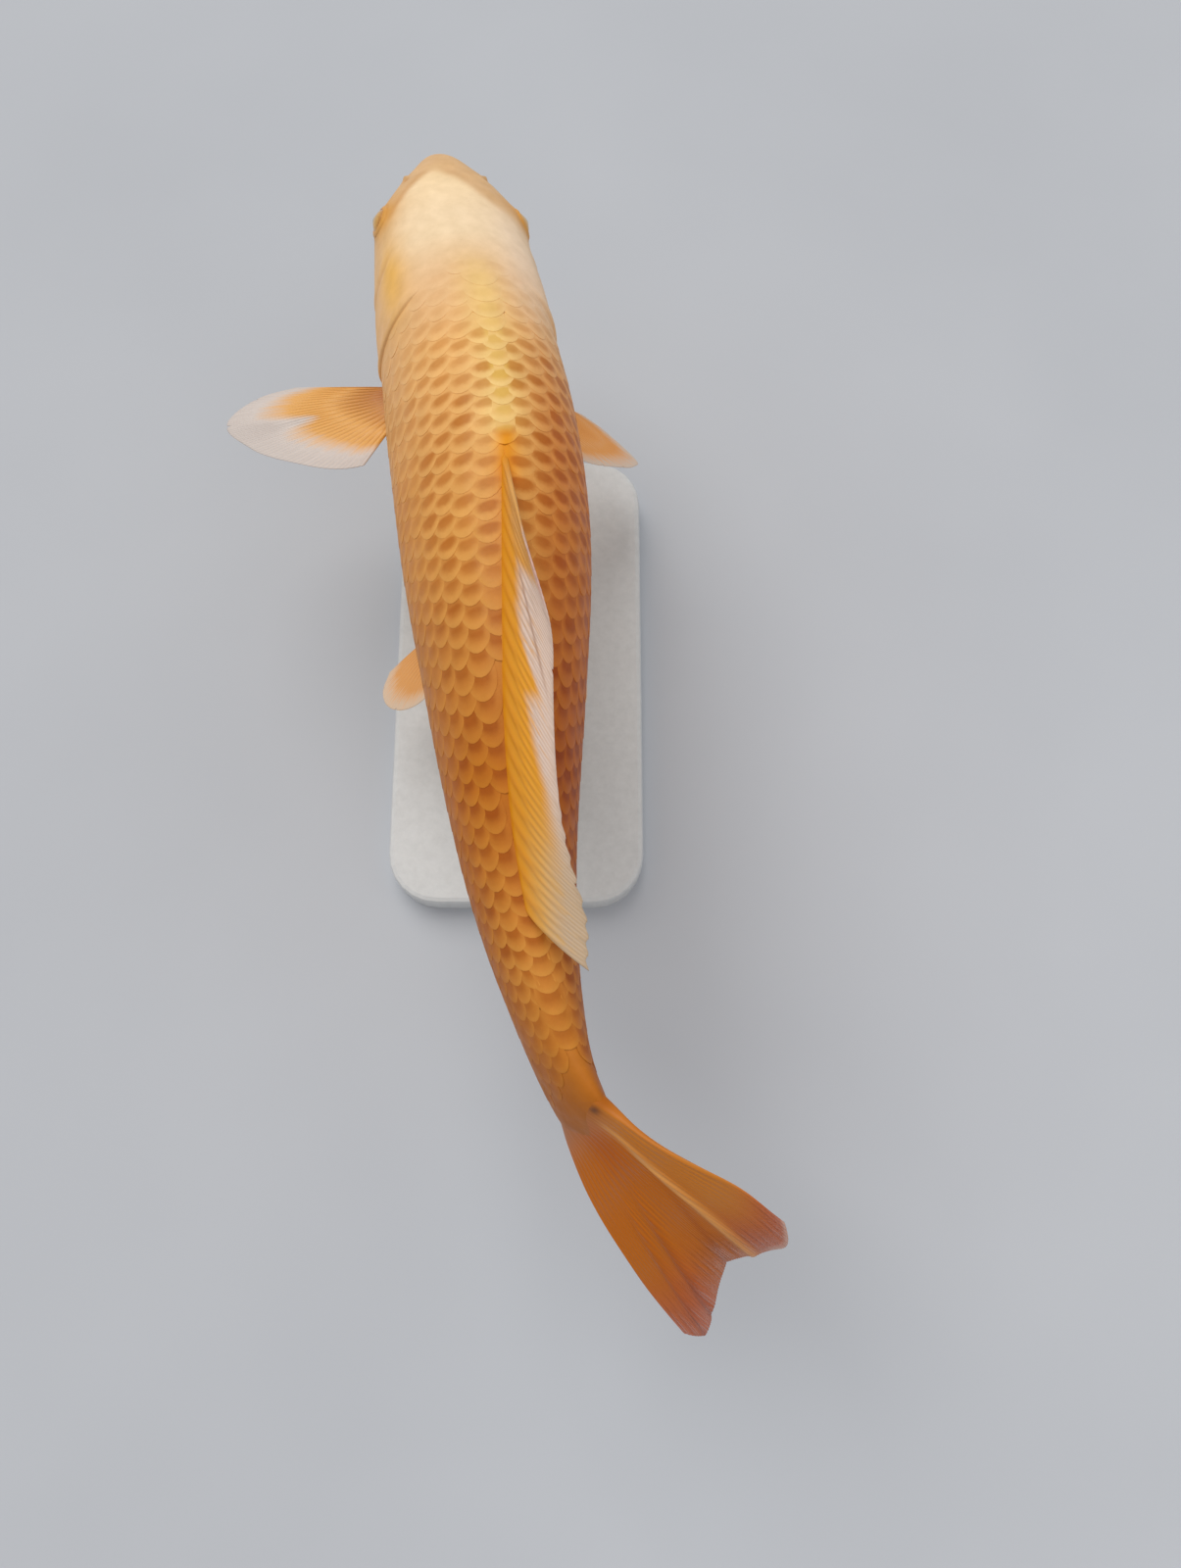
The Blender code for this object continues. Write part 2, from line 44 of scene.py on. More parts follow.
# The fish is described along its spine, as in the solids: a share of the standard
# length from the snout, an angle round the section (0 is its right side, 90 the back)
fish = {
    "standardLength": 0.314,
    "spineHeight": 0.104,
    "spineMiddle": (-0.002, 0.004),
    "middleShare": 0.475,
    "bodyEnd": 1.04,
    "gillNape": 0.225,
    "gillFlank": 0.265,
    "gillThroat": 0.190,
}
pose = (  # share, heading, lean to the right, in degrees
    (0.00, 10.0, 7), (0.10, 8.4, 11), (0.22, 9.4, 13), (0.36, 8.8, 12), (0.50, 5.8, 7.5),
    (0.65, 4.6, 4), (0.76, 6.6, 3), (0.88, 13.5, 5), (0.95, 18.0, 11), (1.02, 32.0, 20),
    (1.10, 42.0, 28), (1.26, 50.0, 30),
)
sections = (  # share, half width, rise, drop and widest level in mm, fullness
    (0.00, 0.0, 0.0, 0.0, -6.8, 2.0), (0.01, 5.0, 6.6, 7.4, -6.2, 2.2),
    (0.04, 11.2, 14.0, 15.2, -5.2, 2.3), (0.10, 22.2, 21.4, 22.0, -3.6, 2.4),
    (0.17, 26.0, 28.2, 26.6, -2.6, 2.3), (0.26, 27.4, 35.0, 34.0, -1.2, 2.1),
    (0.37, 28.9, 39.0, 42.0, 1.5, 2.0), (0.50, 27.9, 39.4, 46.0, 3.0, 2.0),
    (0.645, 22.5, 34.0, 39.0, 2.4, 2.0), (0.81, 15.0, 23.2, 23.6, 1.0, 2.0),
    (0.93, 9.0, 18.4, 18.2, 0.2, 2.0), (1.00, 5.0, 18.2, 18.2, 0.0, 2.0),
    (1.04, 1.6, 17.4, 17.4, 0.0, 2.0),
)


def column(table, index):
    return np.array([row[index] for row in table], float)


def mix(a, b, t):
    return a + (b - a) * t


def ease(x, low, high):  # 0 at low, 1 at high, smooth between; low may be the larger
    t = np.clip((x - low) / (high - low), 0, 1)
    return t * t * (3 - 2 * t)


def hump(x, centre, width):
    return np.exp(-(((x - centre) / width) ** 2))


def bulge(x):  # a half round: 1 at 0, 0 at 1 and past it
    return np.sqrt(np.clip(1 - x**2, 0, 1))


def unit(v):
    return v / np.linalg.norm(v)


def curveThrough(knots, values, x):
    x = np.clip(x, knots[0], knots[-1])
    i = np.clip(np.searchsorted(knots, x, side="right") - 1, 0, len(knots) - 2)
    order = np.arange(len(knots))
    before, after = np.maximum(order - 1, 0), np.minimum(order + 1, len(knots) - 1)
    slope = (values[after] - values[before]) / (knots[after] - knots[before])
    span = knots[i + 1] - knots[i]
    t = (x - knots[i]) / span
    held = values[i] * (1 + 2 * t) * (1 - t) ** 2 + values[i + 1] * t * t * (3 - 2 * t)
    return held + (slope[i] * t * (1 - t) ** 2 + slope[i + 1] * t * t * (t - 1)) * span


def tableCurve(table, index, x):
    return curveThrough(column(table, 0), column(table, index), x)


def heading(share):
    return np.radians(tableCurve(pose, 1, share))


def lean(share):
    return np.radians(tableCurve(pose, 2, share))


def section(share):
    knots = np.sqrt(column(sections, 0))
    at = np.sqrt(np.maximum(share, 0))
    found = [curveThrough(knots, column(sections, i), at) for i in range(1, 6)]
    return [value * mm for value in found[:4]] + [found[4]]


def traceSpine(steps=260, last=1.30):
    stride = last / steps
    turned = heading((np.arange(steps) + 0.5) * stride)
    step = np.stack([np.sin(turned), -np.cos(turned)], -1) * stride * fish["standardLength"]
    points = np.vstack([[0, 0], np.cumsum(step, axis=0)])
    points += np.array(fish["spineMiddle"]) - points[round(fish["middleShare"] / stride)]
    return np.arange(steps + 1) * stride, points


spineShares, spinePlan = traceSpine()


def directions(share):  # tailward, rightward and upward, before the lean
    turned = heading(share)
    flat = np.zeros_like(turned)
    back = np.stack([np.sin(turned), -np.cos(turned), flat], -1)
    right = np.stack([np.cos(turned), np.sin(turned), flat], -1)
    return back, right, np.stack([flat, flat, flat + 1], -1)


def place(share, across, up):
    share, across, up = np.broadcast_arrays(*(np.asarray(x, float) for x in (share, across, up)))
    x, y = (np.interp(share, spineShares, spinePlan[:, i]) for i in (0, 1))
    spine = np.stack([x, y, np.full_like(x, fish["spineHeight"])], -1)
    _, right, top = directions(share)
    tilt = lean(share)[..., None]
    sideways = right * np.cos(tilt) - top * np.sin(tilt)
    upward = top * np.cos(tilt) + right * np.sin(tilt)
    return spine + sideways * across[..., None] + upward * up[..., None]


eyes = {"share": 0.116, "angle": 22, "radius": 5.4, "sunk": 4.1, "swell": 1.3, "span": 0.024, "arc": 20}


def elevation(angle):  # degrees above the widest level, alike on both sides
    return np.degrees(np.arctan2(np.sin(angle), np.abs(np.cos(angle))))


def sideTurn(side, degrees):  # the angle round the section, on that side
    turn = math.radians(degrees)
    return turn if side > 0 else math.pi - turn


def orbitSwell(share, angle):
    near = hump(share, eyes["share"], eyes["span"]) * hump(elevation(angle), eyes["angle"], eyes["arc"])
    return eyes["swell"] * mm * near


def bodyPoint(share, angle, grow=0.0):
    share, angle, grow = np.broadcast_arrays(*(np.asarray(x, float) for x in (share, angle, grow)))
    width, rise, drop, level, fullness = section(share)
    grow = grow + orbitSwell(share, angle)
    c, s = np.cos(angle), np.sin(angle)
    height = np.where(s > 0, rise, drop) + grow
    across = np.copysign(np.abs(c) ** (2 / fullness), c) * (width + grow)
    return place(share, across, level + np.copysign(np.abs(s) ** (2 / fullness), s) * height)


def gillShare(angle):
    middle = np.where(np.sin(angle) > 0, fish["gillNape"], fish["gillThroat"])
    return mix(middle, fish["gillFlank"], np.abs(np.cos(angle)) ** 1.4)


girth = {
    "shares": (0.15, 1.04, 179),
    "angles": (90, -90, 181),  # degrees, from the ridge down to the belly
    "arcs": (0, 0.1305, 0.0005),  # metres round from the ridge
    "flankAngle": 3,
}


def girthTable():  # angle that lies a given way round from the ridge, share by share
    shares, sweep = np.linspace(*girth["shares"]), np.radians(np.linspace(*girth["angles"]))
    points = bodyPoint(shares[:, None], sweep[None, :])
    steps = np.linalg.norm(np.diff(points, axis=1), axis=-1)
    arcs = np.concatenate([np.zeros((len(shares), 1)), np.cumsum(steps, axis=1)], axis=1)
    ticks = np.arange(*girth["arcs"])
    angles = np.stack([np.interp(ticks, row, sweep) for row in arcs])
    flankIndex = np.searchsorted(-sweep, -math.radians(girth["flankAngle"]))
    return shares, ticks, angles, arcs[:, -1], arcs[:, flankIndex]


tableShares, tableTicks, tableAngles, halfGirths, flankArcs = girthTable()


def halfGirth(share):
    return np.interp(share, tableShares, halfGirths)


def cell(values, x):  # the row of the table that x falls in, and how far into it
    at = np.clip((x - values[0]) / (values[1] - values[0]), 0, len(values) - 1.001)
    return at.astype(int), at - at.astype(int)


def angleRound(share, arc):  # arc is from the ridge, positive down the right side
    half = halfGirth(share)
    arc = (arc + half) % (2 * half) - half
    (i, intoShare), (k, intoArc) = cell(tableShares, share), cell(tableTicks, np.abs(arc))
    near, far = (mix(tableAngles[row, k], tableAngles[row, k + 1], intoArc) for row in (i, i + 1))
    angle = mix(near, far, intoShare)
    return np.where(arc >= 0, angle, math.pi - angle)


print("body lines ready")


# mesh helpers
def meshFrom(bm, name):
    mesh = bpy.data.meshes.new(name)
    bm.to_mesh(mesh)
    bm.free()
    return mesh


def readRows(rows, what, width=3):
    flat = np.zeros(len(rows) * width)
    rows.foreach_get(what, flat)
    return flat.reshape(-1, width)


def coordinates(mesh, what="co"):
    return readRows(mesh.vertices, what)


def setCoordinates(mesh, co):
    mesh.vertices.foreach_set("co", np.ascontiguousarray(co, np.float32).ravel())
    mesh.update()


def gridMesh(name, columns, rows):
    bm = bmesh.new()
    bmesh.ops.create_grid(bm, x_segments=columns, y_segments=rows, size=0.5)
    mesh = meshFrom(bm, name)
    co = coordinates(mesh)
    return mesh, np.round((co[:, 0] + 0.5) * columns), np.round((co[:, 1] + 0.5) * rows)


def setField(mesh, name, values):
    kind, slotName = ("FLOAT_VECTOR", "vector") if values.ndim == 2 else ("FLOAT", "value")
    layer = mesh.attributes.new(name, kind, "POINT")
    layer.data.foreach_set(slotName, np.ascontiguousarray(values, np.float32).ravel())


def setBodyPlace(mesh, share, angle):
    setField(mesh, "bodyPlace", np.stack([share, np.cos(angle), np.sin(angle)], 1))


def setLipsAndCreaseShade(mesh, lips, creaseShade):
    setField(mesh, "lipShare", lips)
    setField(mesh, "creaseShare", creaseShade)


def cornerVertices(mesh):
    found = np.zeros(len(mesh.loops), np.int32)
    mesh.loops.foreach_get("vertex_index", found)
    return found


def setMap(mesh, u, v, perCorner=False):
    if not perCorner:
        corners = cornerVertices(mesh)
        u, v = u[corners], v[corners]
    layer = mesh.uv_layers.get("OFBake") or mesh.uv_layers.new(name="OFBake")
    layer.data.foreach_set("uv", np.stack([u, v], 1).astype(np.float32).ravel())


def closeSeams(mesh, reach=1e-6):
    bm = bmesh.new()
    bm.from_mesh(mesh)
    bmesh.ops.remove_doubles(bm, verts=bm.verts, dist=reach)
    bmesh.ops.recalc_face_normals(bm, faces=bm.faces)
    bm.to_mesh(mesh)
    bm.free()
    mesh.update()


def linked(name, data):
    made = bpy.data.objects.new(name, data)
    bpy.context.scene.collection.objects.link(made)
    return made


def bakedMesh(rig):  # the mesh that a curve or a modifier makes, without its object
    bpy.context.view_layer.update()
    made = bpy.data.meshes.new_from_object(rig.evaluated_get(bpy.context.evaluated_depsgraph_get()))
    bpy.data.objects.remove(rig)
    return made


def addPiece(name, mesh, finish, nodes=()):
    mesh.name = name
    mesh.shade_smooth()
    mesh.materials.clear()
    mesh.materials.append(finish)
    piece = linked(name, mesh)
    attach(piece, "root")
    if nodes:
        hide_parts(*nodes)
    return piece


# node helpers
class Wire:  # an output that can be added and multiplied, so that a mask reads as a sum
    def __init__(self, sketch, socket):
        self.sketch, self.socket = sketch, socket

    def __add__(self, other):
        return self.sketch.math("ADD", self, other)

    def __sub__(self, other):
        return self.sketch.math("SUBTRACT", self, other)

    def __rsub__(self, other):
        return self.sketch.math("SUBTRACT", other, self)

    def __mul__(self, other):
        return self.sketch.math("MULTIPLY", self, other)

    def __truediv__(self, other):
        return self.sketch.math("DIVIDE", self, other)


class Sketch:
    def __init__(self, tree):
        self.tree = tree

    def put(self, socket, value):
        if isinstance(value, Wire):
            self.tree.links.new(value.socket, socket)
        else:
            socket.default_value = (*value, 1) if socket.type == "RGBA" else value

    def node(self, kind, values=(), output=0, **settings):  # values go to its sockets in order or by name
        made = self.tree.nodes.new(kind)
        for name, value in settings.items():
            setattr(made, name, value)
        for label, value in values.items() if isinstance(values, dict) else enumerate(values):
            self.put(made.inputs[label], value)
        return Wire(self, made.outputs[output])

    def outputs(self, wire):
        return {socket.name: Wire(self, socket) for socket in wire.socket.node.outputs}

    def math(self, operation, *values):
        return self.node("ShaderNodeMath", values, operation=operation)

    def smooth(self, x, low, high, start=0.0, end=1.0):
        return self.node("ShaderNodeMapRange", (x, low, high, start, end), interpolation_type="SMOOTHSTEP")

    def gauss(self, x, centre, width):  # 1 at the centre, fading over the width
        off = (x - centre) / width
        return self.math("EXPONENT", off * off * -1.0)

    def blend(self, factor, a, b, how="MIX"):  # 6 and 7 are the mix node's two colours, 2 its colour out
        return self.node("ShaderNodeMix", {0: factor, 6: a, 7: b}, 2, data_type="RGBA", blend_type=how)

    def stops(self, factor, *stops):
        made = self.node("ShaderNodeValToRGB", (factor,))
        elements = made.socket.node.color_ramp.elements
        while len(elements) < len(stops):
            elements.new(0.5)
        for element, (at, colour) in zip(elements, stops):
            element.position = at
            element.color = (*colour, 1)
        return made

    def mottled(self, tone, pattern, *stops):
        return self.blend(1.0, tone, self.stops(pattern, *stops), "MULTIPLY")

    def noise(self, vector, scale, detail=2.0, rough=0.5):
        values = {"Vector": vector, "Scale": scale, "Detail": detail, "Roughness": rough}
        return self.node("ShaderNodeTexNoise", values, "Fac")

    def parts(self, vector):
        return self.outputs(self.node("ShaderNodeSeparateXYZ", (vector,))).values()

    def field(self, name, output="Vector"):
        return self.node("ShaderNodeAttribute", (), output, attribute_name=name)

    def spot(self):  # place in metres
        return self.node("ShaderNodeTexCoord", (), "Object")

    def group(self, tree, **values):
        return self.outputs(self.node("ShaderNodeGroup", values, node_tree=tree))

    def bump(self, height, strength, distance):
        return self.node("ShaderNodeBump", {"Strength": strength, "Distance": distance, "Height": height})


def newGroup(name, inputs, outputs):
    tree = bpy.data.node_groups.new(name, "ShaderNodeTree")
    for way, sockets in (("INPUT", inputs), ("OUTPUT", outputs)):
        for label, kind in sockets.items():
            tree.interface.new_socket(label, in_out=way, socket_type="NodeSocket" + kind)
    s = Sketch(tree)
    return tree, s, s.outputs(s.node("NodeGroupInput")), tree.nodes.new("NodeGroupOutput").inputs


def newMaterial(name, constants):
    made = bpy.data.materials.new(name)
    made.use_nodes = True
    shader = made.node_tree.nodes["Principled BSDF"].inputs
    for label, value in constants.items():
        shader[label].default_value = value
    return made, Sketch(made.node_tree), shader


# the koi's markings, read by skin, scales and barbels alike; towards the tail they also carry painted shade
tones = {
    "snout": (0.83, 0.585, 0.36),
    "forehead": (0.93, 0.68, 0.38),
    "crown": (0.95, 0.73, 0.47),
    "nape": (0.87, 0.56, 0.30),
    "shoulder": (0.83, 0.44, 0.145),
    "back": (0.73, 0.325, 0.070),
    "rearBack": (0.51, 0.152, 0.010),
    "stalk": (0.60, 0.225, 0.034),
    "stalkEnd": (0.45, 0.135, 0.009),
    "cheek": (0.86, 0.55, 0.27),
    "cover": (0.87, 0.52, 0.23),
    "flank": (0.72, 0.31, 0.070),
    "rearFlank": (0.49, 0.145, 0.011),
    "belly": (0.90, 0.66, 0.42),
    "rearBelly": (0.78, 0.40, 0.13),
    "rim": (0.72, 0.435, 0.20),
    "eyeBrow": (0.70, 0.31, 0.035),
    "stripe": (0.92, 0.63, 0.22),
    "cheekBar": (0.92, 0.50, 0.09),
    "blush": (0.96, 0.74, 0.56),
    # painted shade of the groove inside the snout's rim
    "rimGrooveShade": (0.70, 0.52, 0.34),
    # painted shade for the right flank
    "deep": (0.86, 0.58, 0.38),
    "ridgeSpot": (0.10, 0.035, 0.015),
    "finRoot": (0.80, 0.29, 0.01),
    "lip": (0.84, 0.50, 0.27),
    # painted shade for the grooves, pits, seams and the mouth's slit
    "hollowShade": (0.70, 0.53, 0.42),
}


def toneGroup():
    tree, s, given, out = newGroup("koiTone", {"Place": "Vector", "Spot": "Vector"}, {"Color": "Color"})
    share, side, height = s.parts(given["Place"])
    spot = given["Spot"]

    def along(*pairs):  # tones down the length of the fish
        return s.stops(share, *((at, tones[name]) for at, name in pairs))

    # the tones darken towards the tail, partly the koi's deeper orange and partly painted shade for light
    # that falls off there
    back = along((0.0, "snout"), (0.06, "forehead"), (0.15, "crown"), (0.18, "crown"), (0.235, "nape"),
                 (0.32, "shoulder"), (0.52, "back"), (0.72, "rearBack"), (0.88, "stalk"), (1.0, "stalkEnd"))
    flank = along((0.0, "rim"), (0.11, "cheek"), (0.24, "cover"), (0.45, "flank"),
                  (0.75, "rearFlank"), (1.0, "stalkEnd"))
    belly = along((0.0, "rim"), (0.2, "belly"), (0.6, "belly"), (0.85, "rearBelly"), (1.0, "stalkEnd"))
    wave = s.noise(spot, 45.0, 3.0) - 0.5
    lifted = height + wave * 0.35
    tone = s.blend(s.smooth(lifted, 0.25, 0.92), flank, back)
    tone = s.blend(s.smooth(lifted, -0.35, -0.9), tone, belly)
    # the right flank behind the shoulder is darkened to a deeper orange brown with painted shade, its cheek a
    # pink cream
    deep = s.smooth(side, 0.1, 0.6) * s.smooth(share, 0.26, 0.44) * s.smooth(height, -0.75, -0.2)
    tone = s.blend(deep * s.smooth(share, 0.90, 0.66, 0.4, 1.0) * 0.9, tone, tones["deep"], "MULTIPLY")
    blush = s.gauss(side, 0.62, 0.36) * s.gauss(share, 0.20, 0.085) * s.smooth(height, -0.1, 0.3)
    tone = s.blend(blush * 0.65, tone, tones["blush"])
    # rim of the snout with painted shade in the groove inside it, and the brow over the eyes
    edge = height + wave * 0.12
    behind = share - s.smooth(side, -0.2, 0.6, 0.06, 0.11) - s.gauss(side, 0.05, 0.38) * 0.016
    inside = edge + behind * 5.0 - 1.0
    rim = s.smooth(inside, 0.06, -0.11) * s.smooth(share, 0.145, 0.115)
    tone = s.blend(rim * s.smooth(height, -0.5, 0.25, 0.45, 0.9), tone, tones["rim"])
    line = s.gauss(inside, -0.04, 0.045) * s.smooth(share, 0.14, 0.12) * s.smooth(share, 0.055, 0.075)
    tone = s.blend(line * s.smooth(side, 0.5, -0.1, 0.4, 1.0) * 0.5, tone, tones["rimGrooveShade"], "MULTIPLY")
    brow = s.gauss(share, 0.120, 0.022) * s.gauss(height, 0.48, 0.24)
    tone = s.blend(brow * 0.92, tone, tones["eyeBrow"])
    # yellow along the back's middle and behind the left eye, orange before the dorsal fin
    middle = s.gauss(side, -0.02, 0.22) * s.smooth(share, 0.19, 0.26) * s.smooth(share, 0.46, 0.41)
    tone = s.blend(middle * s.smooth(height, 0.5, 0.9) * 0.7, tone, tones["stripe"])
    bar = s.gauss(edge, 0.52, 0.17) * s.smooth(side, -0.3, -0.7) * s.gauss(share, 0.208, 0.046)
    tone = s.blend(bar * 0.85, tone, tones["cheekBar"])
    patch = s.smooth(share, 0.422, 0.434) * s.smooth(share, 0.500, 0.465) * s.gauss(side, 0.02, 0.12)
    tone = s.blend(patch * s.smooth(height, 0.6, 0.9) * 0.99, tone, tones["finRoot"])
    fine, broad = s.noise(spot, 220.0, 4.0, 0.6), s.noise(spot, 26.0, 3.0, 0.55)
    tone = s.mottled(tone, fine, (0.25, (0.91, 0.89, 0.85)), (0.75, (1.05, 1.05, 1.06)))
    s.put(out["Color"], s.mottled(tone, broad, (0.3, (0.95, 0.93, 0.90)), (0.7, (1.04, 1.05, 1.07))))
    return tree


def grainGroup():  # fine skin grain and slime that break up the gloss
    tree, s, given, out = newGroup("wetGrain", {"Spot": "Vector"}, {"Height": "Float", "Roughness": "Float"})
    spot = given["Spot"]
    fine = s.noise(spot, 1500.0, 3.0, 0.6)
    cells = s.node("ShaderNodeTexVoronoi", {"Vector": spot, "Scale": 900.0}, "Distance")
    s.put(out["Height"], fine * 0.5 + s.smooth(cells, 0.12, 0.34) * 0.5)
    s.put(out["Roughness"], s.smooth(s.noise(spot, 160.0, 3.0), 0.3, 0.7, 0.42, 0.60))
    return tree


koiTone, wetGrain = toneGroup(), grainGroup()
wetGloss = {"Specular IOR Level": 0.15, "Coat Weight": 0.05, "Coat Roughness": 0.15}


def skinMaterial():
    made, s, shader = newMaterial("koiSkin", wetGloss)
    spot = s.spot()
    tone = s.group(koiTone, Place=s.field("bodyPlace"), Spot=spot)["Color"]
    tone = s.blend(s.field("lipShare", "Fac") * 0.7, tone, tones["lip"])
    # painted shade darkens the grooves, pits, seams and the mouth's slit
    tone = s.blend(s.field("creaseShare", "Fac") * 0.75, tone, tones["hollowShade"], "MULTIPLY")
    grain = s.group(wetGrain, Spot=spot)
    s.put(shader["Base Color"], tone)
    s.put(shader["Roughness"], grain["Roughness"])
    s.put(shader["Normal"], s.bump(grain["Height"], 0.35, 0.00012))
    return made


skinFinish = skinMaterial()


# eyes: where they sit, read by the skin round them too
def eyeFrame(side):
    turn, nudge = sideTurn(side, eyes["angle"]), 0.05 * side
    share = eyes["share"]
    ahead = unit(bodyPoint(share - 0.01, turn) - bodyPoint(share + 0.01, turn))
    above = bodyPoint(share, turn + nudge) - bodyPoint(share, turn - nudge)
    out = unit(np.cross(ahead, above) * side)
    centre = bodyPoint(share, turn) - out * eyes["sunk"] * mm
    return centre, out, ahead


def gazeFrame(side):  # the eye looks nearly level and a little forward
    centre, out, ahead = eyeFrame(side)
    gaze = unit(out * np.array([1, 1, 0.35]) + ahead * 0.14)
    ahead = unit(ahead - gaze * ahead.dot(gaze))
    return centre, gaze, ahead, np.cross(ahead, gaze) * -side


farAway = 99.0  # mm, past the reach of any detail


def eyeDistance(points, side):
    centre, out, _ = eyeFrame(side)
    off = points - centre
    depth = off @ out
    flat = np.linalg.norm(off - depth[:, None] * out, axis=1) / mm
    return np.where(depth > -6 * mm, flat, farAway)


collar = {  # mm round the eyeball
    "edge": 3.9, "lift": 0.6, "spread": 1.6, "reach": 14,
    "tucks": ((0.4, 5.5, 4.9), (2.6, 4.5, 3.8)),  # depth, and how far out it starts and is full
}


def eyeRelief(points):  # a soft collar round each eyeball, and the hollow that holds it
    height = np.zeros(len(points))
    for side in sides.values():
        away = eyeDistance(points, side)
        lift = collar["lift"] * hump(np.maximum(away, collar["edge"]), collar["edge"], collar["spread"])
        tuck = sum(depth * ease(away, start, full) for depth, start, full in collar["tucks"])
        height += np.where(away < collar["reach"], lift - tuck, 0)
    return height


# skin
skin = {
    "around": 288,
    "headRings": 120,
    "trunkRings": 150,
    "bare": 0.05,  # mm that bare skin lies inside the body's lines
    "underScales": 0.34,  # the same under the scales
    "tailTaper": 1.5,  # mm that the skin draws in where it meets the tail fin's root
    "coverLift": 0.45,  # mm, like the other heights and depths of the relief down to the brim
    "coverEdge": 0.40,
    "gillGroove": 0.5,
    "cheekBone": 0.22,
    "preCover": 0.42,
    "lowerCover": 0.32,
    "jaw": 0.22,
    "throatSeams": 0.30,
    "throatFurrow": 0.6,
    "nostrilFlap": 0.75,
    "nostrilMound": 0.25,
    "nostrilPits": 1.0,
    "brim": 0.14,
    "upperLip": (0.004, 0.040, 10.0, 2.1, 1.35),  # front share, reach, half gape mm, width, lift
    "lowerLip": (0.018, 0.020, 7.0, 1.8, 1.0),
    "mouthSlit": (0.0113, 0.0290, 8.8, 0.60, -2.6),
    "nostrils": ((0.0600, 41, 0.0030, 3.4), (0.0700, 44, 0.0036, 4.4)),  # share, height, their widths
}


def skinRings():  # closer together towards the gill cover's edge, and just behind it
    head = np.concatenate([
        np.linspace(0, 1, skin["headRings"] + 1) ** 1.5 * 0.90,
        np.linspace(0.90, 0.985, 18)[1:],
        np.linspace(0.985, 1.0, 8)[1:],
    ])
    edge = np.linspace(0, 0.012, 9)[1:]
    rest = np.linspace(0, 1, skin["trunkRings"])[1:]
    return head, edge, rest


def skinShare(ring, angle):
    head, edge, rest = skinRings()
    gill = gillShare(angle)
    ring = ring.astype(int)
    atHead = head[np.minimum(ring, len(head) - 1)]
    atEdge = edge[np.clip(ring - len(head), 0, len(edge) - 1)]
    atRest = rest[np.clip(ring - len(head) - len(edge), 0, len(rest) - 1)]
    rear = gill + edge[-1] + (fish["bodyEnd"] - gill - edge[-1]) * atRest
    past = np.where(ring < len(head) + len(edge), gill + atEdge, rear)
    return np.where(ring < len(head), gill * atHead, past)


def mouthLine(points, front, reach, halfGape, steps=60):  # distance in mm to the mouth's line, place along it
    t = np.linspace(-1, 1, steps + 1)
    share = front + reach * t * t
    path = bodyPoint(share, -np.arccos(np.clip(t * halfGape * mm / section(share)[0], -1, 1)))
    away, along = np.full(len(points), farAway), np.zeros(len(points))
    near = np.linalg.norm(points - path.mean(0), axis=1) < 0.035
    gaps = np.linalg.norm(points[near][:, None, :] - path[None, :, :], axis=2)
    best = gaps.argmin(1)
    away[near] = gaps[np.arange(len(best)), best] / mm
    along[near] = t[best]
    return away, along


# lips, and the mouth's slit, which also gives painted shade
def mouthRelief(points):
    height, lips = np.zeros((2, len(points)))
    for name in ("upperLip", "lowerLip"):
        *line, width, lift = skin[name]
        away, along = mouthLine(points, *line)
        fullness = 0.55 + 0.45 * bulge(along)
        roll = bulge(away / (width * fullness))
        height += lift * fullness * roll - 0.35 * hump(away, width * fullness + 0.5, 0.45)
        lips = np.maximum(lips, roll)
    *line, width, depth = skin["mouthSlit"]
    away, along = mouthLine(points, *line)
    slit = hump(away, 0, width)
    return height + depth * slit * (1 - 0.6 * along**4), np.clip(lips - slit, 0, 1), slit


def coverRelief(share, behind, up, flankPart):  # gill cover, the groove behind it, bones of the cheek, and the painted shade in its grooves
    onCover = flankPart * ease(behind, 0.0012, -0.0008)
    lifted = skin["coverLift"] * ease(behind, -0.088, -0.03) + skin["coverEdge"] * hump(behind, -0.005, 0.006)
    groove = hump(behind, 0.0035, 0.0035) * flankPart
    front = -0.083 + 0.010 * np.cos(np.radians(up * 2.2))
    cheekPart = ease(up, -66, -50) * ease(up, 40, 22)
    preCover = hump(behind, front, 0.0035) * cheekPart
    cheekBone = hump(behind, front - 0.009, 0.006) * cheekPart
    lower = hump(up, -34 - 160 * (behind + 0.04), 2.6)
    lower *= ease(behind, -0.078, -0.068) * ease(behind, -0.002, -0.012)
    jaw = hump(share, 0.135 - 0.02 * np.cos(np.radians(up + 30)), 0.004)
    jaw *= ease(up, -38, -26) * ease(up, 2, -8)
    height = lifted * onCover - skin["gillGroove"] * groove
    height += skin["cheekBone"] * cheekBone - skin["preCover"] * preCover
    height -= skin["lowerCover"] * lower + skin["jaw"] * jaw
    return height, groove * mix(0.75, 0.15, ease(up, 10, 40)) + preCover * 0.45 + lower * 0.4


def throatRelief(share, behind, up):  # rays of the gill membrane, and the furrow between its halves, with painted shade in both
    seams = np.max([hump(up, line, 2.0) for line in (-57, -66, -76)], axis=0)
    seams = seams * ease(behind, -0.10, -0.08) * ease(behind, 0.0, -0.008)
    shadedFurrow = hump(up, -90, 4.5) * ease(share, 0.07, 0.10) * ease(share, 0.20, 0.18)
    height = -skin["throatSeams"] * seams - skin["throatFurrow"] * shadedFurrow
    return height, seams * 0.4 + shadedFurrow * 0.4


